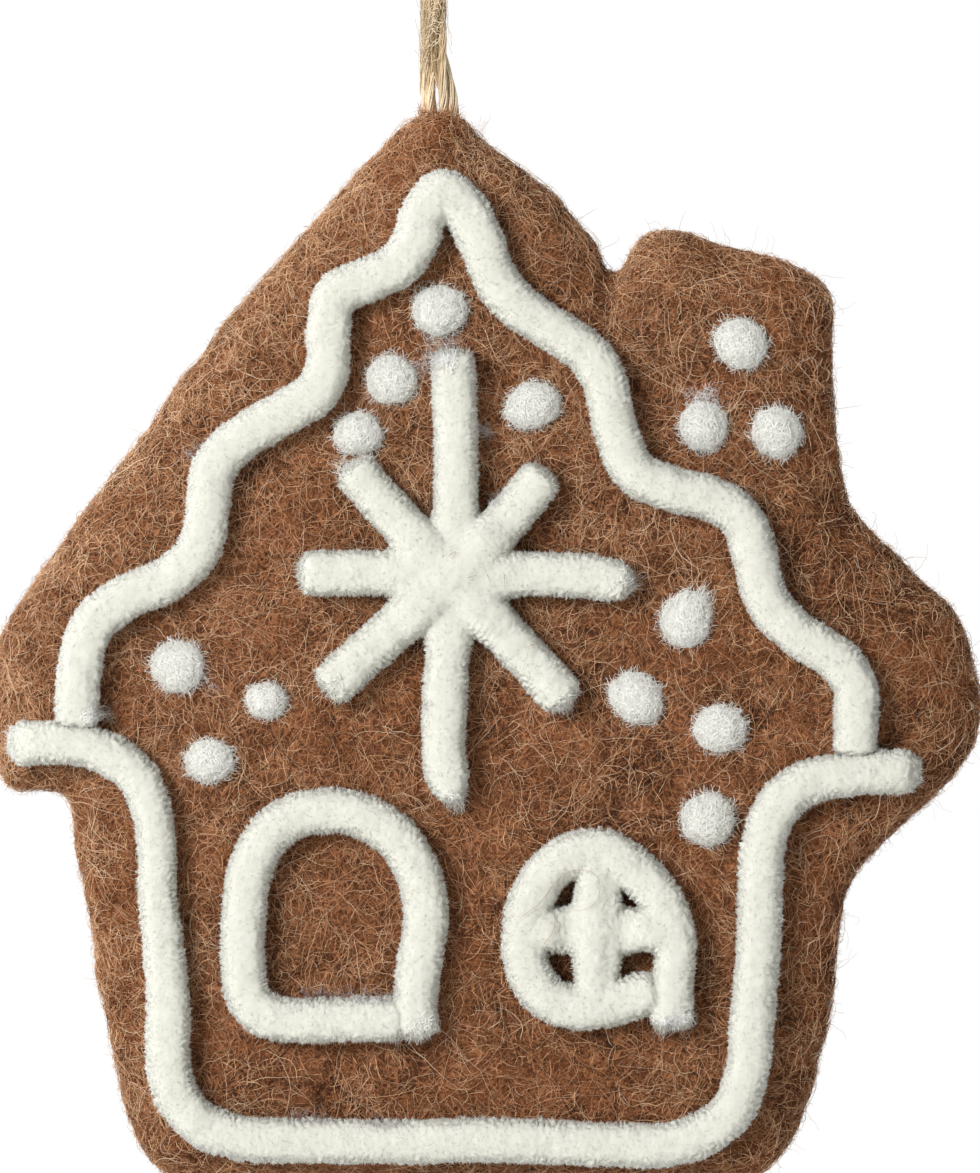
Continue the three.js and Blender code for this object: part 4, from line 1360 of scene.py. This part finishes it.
def drape(where, height):
    """Paths given by X and Z, laid over the front. Height is for each path, or for each of its points."""
    depth = np.zeros(where.shape[0] * where.shape[1])
    for n, (x, z) in enumerate(where.reshape(-1, 2)):
        spot = cover_tree.ray_cast((x, -0.05, z), (0, 1, 0))[0]
        if spot:
            depth[n] = -spot.y
    depth = depth.reshape(where.shape[:2]) + height
    for _ in range(10):
        depth[:, 1:-1] = np.maximum(depth[:, 1:-1], (depth[:, :-2] + depth[:, 2:]) / 2)
    return np.stack([where[..., 0], -depth, where[..., 1]], axis=-1)


# %% Stray hairs
# Each hair: how light it is, from 0 to 1, and its pixels.
HAIR_PIXELS = [
    (0.0, [(468, 187), (480, 201), (488, 218)]),
    (0.9, [(382, 199), (393, 195), (401, 198), (398, 208), (393, 204), (396, 199)]),
    (0.4, [(522, 913), (541, 899), (552, 883), (566, 870), (582, 867), (595, 872), (599, 886), (595, 899),
           (585, 906), (574, 908)]),
    (0.4, [(553, 908), (554, 921), (550, 932), (544, 940), (541, 948)]),
    (0.2, [(449, 556), (456, 552), (452, 560)]),
    (0.1, [(468, 578), (477, 575)]),
    (0.1, [(487, 574), (490, 582)]),
    (0.1, [(504, 574), (505, 590)]),
    (0.6, [(525, 647), (543, 641)]),
    (0.8, [(633, 561), (637, 587), (658, 616)]),
    (0.8, [(740, 560), (724, 575), (713, 595)]),
]
HAIR_POINTS = 16
hair_lines = []
for tint, pixels in HAIR_PIXELS:
    line = smooth_line(places(pixels))
    hair_lines.append(even_line(line, length_along(line)[-1] / (HAIR_POINTS - 1)))
hair_lines = drape(np.array(hair_lines), 0.38 * MM)
hair_tints = np.array([tint for tint, pixels in HAIR_PIXELS])
hair_widths = np.full(len(HAIR_PIXELS), 0.06 * MM)
stray_hair = fibre_material("stray_hairs", "39312B", "B08A66", "EBD3B2", "A98A6A", 0.3, 90.0)
add_fibres("stray_hairs", hair_lines, hair_widths, TOWARDS_VIEWER, hair_tints, stray_hair)

# %% Hairs of the felt that lie over the rims of the dots
HAIRS_PER_DOT = 26
random = np.random.default_rng(47)
turns = random.uniform(0, 2 * np.pi, (len(DOT_PIXELS), HAIRS_PER_DOT))
starts = np.concatenate([
    place(x, y) + round_about(turn, random.uniform(0.9, 1.25, HAIRS_PER_DOT)) @ turned_oval(*oval)
    for turn, (x, y, *oval) in zip(turns, DOT_PIXELS)
])
turns = turns.ravel()
round_rim = np.column_stack([-np.sin(turns), 0 * turns, np.cos(turns)])
count = len(starts)
lengths = (0.8 + 3.2 * random.random(count) ** 2) * MM
paths = wander_flat(starts, lengths, HAIR_STEPS, 1.2, random, round_rim)
paths = drape(paths, random.uniform(0.1, 0.4, (count, 1)) * MM)
widths = random.uniform(0.04, 0.065, count) * MM
add_fibres("hairs_on_dots", paths, widths, TOWARDS_VIEWER, random.beta(1.6, 2, count), long_hair)

# %% Wisps of glue
# Each wisp: where it starts and ends, how far it spreads in pixels, its fibres, and how pale they are.
WISP_PIXELS = [
    (422, 370, 434, 352, 5, 110, 0.7), (436, 346, 456, 342, 5, 90, 0.8), (434, 368, 446, 352, 5, 90, 0.9),
    (482, 428, 486, 434, 3, 60, 0.8), (98, 708, 108, 716, 4, 90, 0.7), (493, 504, 500, 496, 3, 40, 0.6),
    (186, 458, 200, 448, 2, 40, 0.3), (302, 990, 395, 996, 1.6, 170, 0.2),
    (292, 1113, 330, 1115, 2, 70, 0.2), (366, 1120, 400, 1120, 1.6, 60, 0.2),
    (670, 1018, 686, 1022, 4, 150, 0.75), (208, 680, 214, 686, 3, 30, 0.6), (426, 700, 428, 712, 2, 14, 0.4),
    (690, 401, 712, 395, 5, 170, 0.95),
]
random = np.random.default_rng(51)
wisps = np.repeat(np.array(WISP_PIXELS), [round(wisp[5]) for wisp in WISP_PIXELS], axis=0)
count = len(wisps)
share = random.random((count, 1))
spots = places(wisps[:, :2] * (1 - share) + wisps[:, 2:4] * share)
lengths = random.uniform(0.4, 1.7, count) * MM
spots += wisps[:, 4:5] * width_per_pixel * random.normal(size=spots.shape)
paths = drape(wander_flat(spots, lengths, 6, 2.2, random), random.uniform(0.05, 0.45, (count, 1)) * MM)
glue = fibre_material("glue_wisps", "ABA1A2", "D9D5D7", "F9F8F8", "C2BBBC", 0.4, 300.0)
tints = np.clip(wisps[:, 6] + random.normal(0, 0.18, count), 0, 1)
widths = random.uniform(0.03, 0.055, count) * MM
add_fibres("glue", paths, widths, TOWARDS_VIEWER, tints, glue)

# %% Pulled ends
# Each pulled end: its pixel, which way it points in pixels, its fibres, and how wide its root is in mm.
PULLED_PIXELS = [
    (456, 796, 1, 12, 160, 0.25), (450, 364, -5, -8, 110, 0.5), (661, 1016, 1, 14, 130, 0.18),
    (92, 716, 12, -4, 90, 0.4), (624, 580, 8, -3, 70, 0.6), (564, 702, 4, 6, 90, 0.5),
    (418, 1024, -2, 6, 90, 0.6), (345, 470, -8, -5, 70, 0.5),
    (334, 684, -4, 5, 50, 0.5), (684, 1014, 2, 6, 110, 0.45), (432, 1022, 4, 3, 60, 0.4),
    (699, 600, 6, -12, 90, 0.3),
]
pulls = np.repeat(np.array(PULLED_PIXELS), [pull[4] for pull in PULLED_PIXELS], axis=0)
count = len(pulls)
aim = np.stack([pulls[:, 2] * width_per_pixel, -pulls[:, 3] * height_per_pixel], axis=1)
reach = random.uniform(0.2, 1.2, (count, 1))
share = np.linspace(0, 1, 6)[None, :, None]
ends = reach * aim + 0.3 * np.linalg.norm(aim, axis=1, keepdims=True) * random.normal(size=aim.shape)
roots = places(pulls[:, :2]) + pulls[:, 5:] * MM * random.normal(size=aim.shape)
bend = 0.35 * MM * random.normal(size=(count, 1, 2)) * np.sin(np.pi * share)
paths = drape(roots[:, None] + share * ends[:, None] + bend, random.uniform(-0.1, 0.4, (count, 1)) * MM)
widths = random.uniform(0.05, 0.09, count) * MM
add_fibres("pulled_ends", paths, widths, TOWARDS_VIEWER, random.random(count), white_fibre)

# %% [markdown]
# The twine comes out of the peak through a collar of fibres that were needled up against it.

# %% The collar's fibres
COLLAR_FIBRES = 520
LOOSE_CURLS = 26

count = COLLAR_FIBRES
turn = random.uniform(0, 2 * np.pi, count)
roots = np.stack([2.1 * np.cos(turn), 1.1 * np.sin(turn), random.uniform(-1.3, 0, count)], axis=1) * MM
roots[:, 2] += skin[:, 2].max() + 0.1 * MM
roots += random.normal(0, 0.25, roots.shape) * MM
upward = unit(np.stack([-0.15 * np.cos(turn), 0.1 * np.sin(turn), np.full(count, 1.0)], axis=1))
lengths = random.uniform(0.6, 1.7, count) * MM
paths, aside = stand_up(roots, upward, lengths, 6, random.uniform(0, 0.7, count), random)
widths = random.uniform(0.045, 0.075, count) * MM
tints = np.clip(random.normal(0.6, 0.2, count), 0, 1)
add_fibres("collar", paths, widths, aside[:, None], tints, short_fibre)

count = LOOSE_CURLS
spots = [random.uniform(1.5, 5.0, count), random.uniform(-1, 1, count), np.full(count, -67.0)]
roots = np.stack(spots, axis=1) * MM
upward = np.broadcast_to(unit(np.array([0.35, 0.0, 1.0])), roots.shape)
lengths = random.uniform(1.5, 4.5, count) * MM
paths, aside = stand_up(roots, upward, lengths, 9, random.uniform(0.2, 1.2, count), random)
widths = random.uniform(0.03, 0.045, count) * MM
add_fibres("curls_at_twine", paths, widths, aside[:, None], random.random(count), long_hair)

# %% [markdown]
# ## Inside
#
# The wadding and the twine's knotted tail are out of sight. They keep their CAD shapes, and get the
# finishes that a cut through the ornament would show. The cords' thread cores are hidden in their chenille.

# %% Finishes of the hidden parts
wadding = fibre_material("loose_wadding", "A8987C", "CDBFA6", "E6DCC8", "BBAA8C", 0.4, 120.0)
draw_fibres(wadding, "E0D5BE", 900.0, 0.4 * MM)
for name, material in (("wool_core", wadding), ("twine_tail", jute)):
    node = bpy.data.objects[name]
    node.data.materials.clear()
    node.data.materials.append(material)

# %% [markdown]
# ## Stage and light
#
# The ornament hangs free, so the floor is well below it. It was photographed against pure white, in a soft
# light from the upper left that leaves only a narrow shadow beside each cord. The world is that white to
# the camera, but a dimmer white as a light. One large lamp does most of the rest, and a weak one from the
# side makes the fuzz of the upper left edges glow. Standard colours keep white as white.

# %% Floor and world
FLOOR_RADIUS = 2.0
FLOOR_BELOW = 0.11
WHITE = (1, 1, 1, 1)

ring = np.insert(round_about(full_turn(96), FLOOR_RADIUS), 2, cad_box[0][2] - FLOOR_BELOW, axis=1)
floor_shape = {"points": ring, "faces": [(np.arange(96)[None], None)], "tint": np.zeros(96)}
floor = bpy.data.objects.new("floor", build_mesh("floor", floor_shape))
bpy.context.scene.collection.objects.link(floor)
paper = bpy.data.materials.new("pale_paper")
paper.use_nodes = True
set_shader(paper, {"Base Color": srgb("F2F1EE"), "Roughness": 0.9})
floor.data.materials.append(paper)

world = bpy.data.worlds.new("studio")
world.use_nodes = True
bpy.context.scene.world = world
tree = world.node_tree
lit = tree.nodes["Background"]
set_inputs(tree, lit, {"Color": WHITE, "Strength": 0.43})
seen = add_node(tree, "Background", {"Color": WHITE, "Strength": 1.0})
choose = add_node(tree, "MixShader", {
    "Fac": add_node(tree, "LightPath").outputs["Is Camera Ray"],
    1: lit.outputs["Background"],
    2: seen.outputs["Background"],
})
set_inputs(tree, tree.nodes["World Output"], {"Surface": choose.outputs["Shader"]})


# %% Lamps
def add_lamp(name, direction, distance, size, power):
    """A square lamp that looks at the house from this direction."""
    lamp_data = bpy.data.lights.new(name, "AREA")
    lamp_data.size = size
    lamp_data.energy = power
    lamp = bpy.data.objects.new(name, lamp_data)
    middle_of_house = Vector((0, 0, place(*MIDDLE_PIXEL)[1]))
    away = Vector(direction).normalized()
    lamp.location = middle_of_house + distance * away
    lamp.rotation_euler = away.to_track_quat("Z", "Y").to_euler()
    bpy.context.scene.collection.objects.link(lamp)


add_lamp("key", (-0.64, -1.0, 0.32), 1.3, 0.42, 15.9)
add_lamp("rim", (-1.0, 0.4, 0.85), 1.3, 0.5, 5.0)
bpy.context.scene.view_settings.view_transform = "Standard"
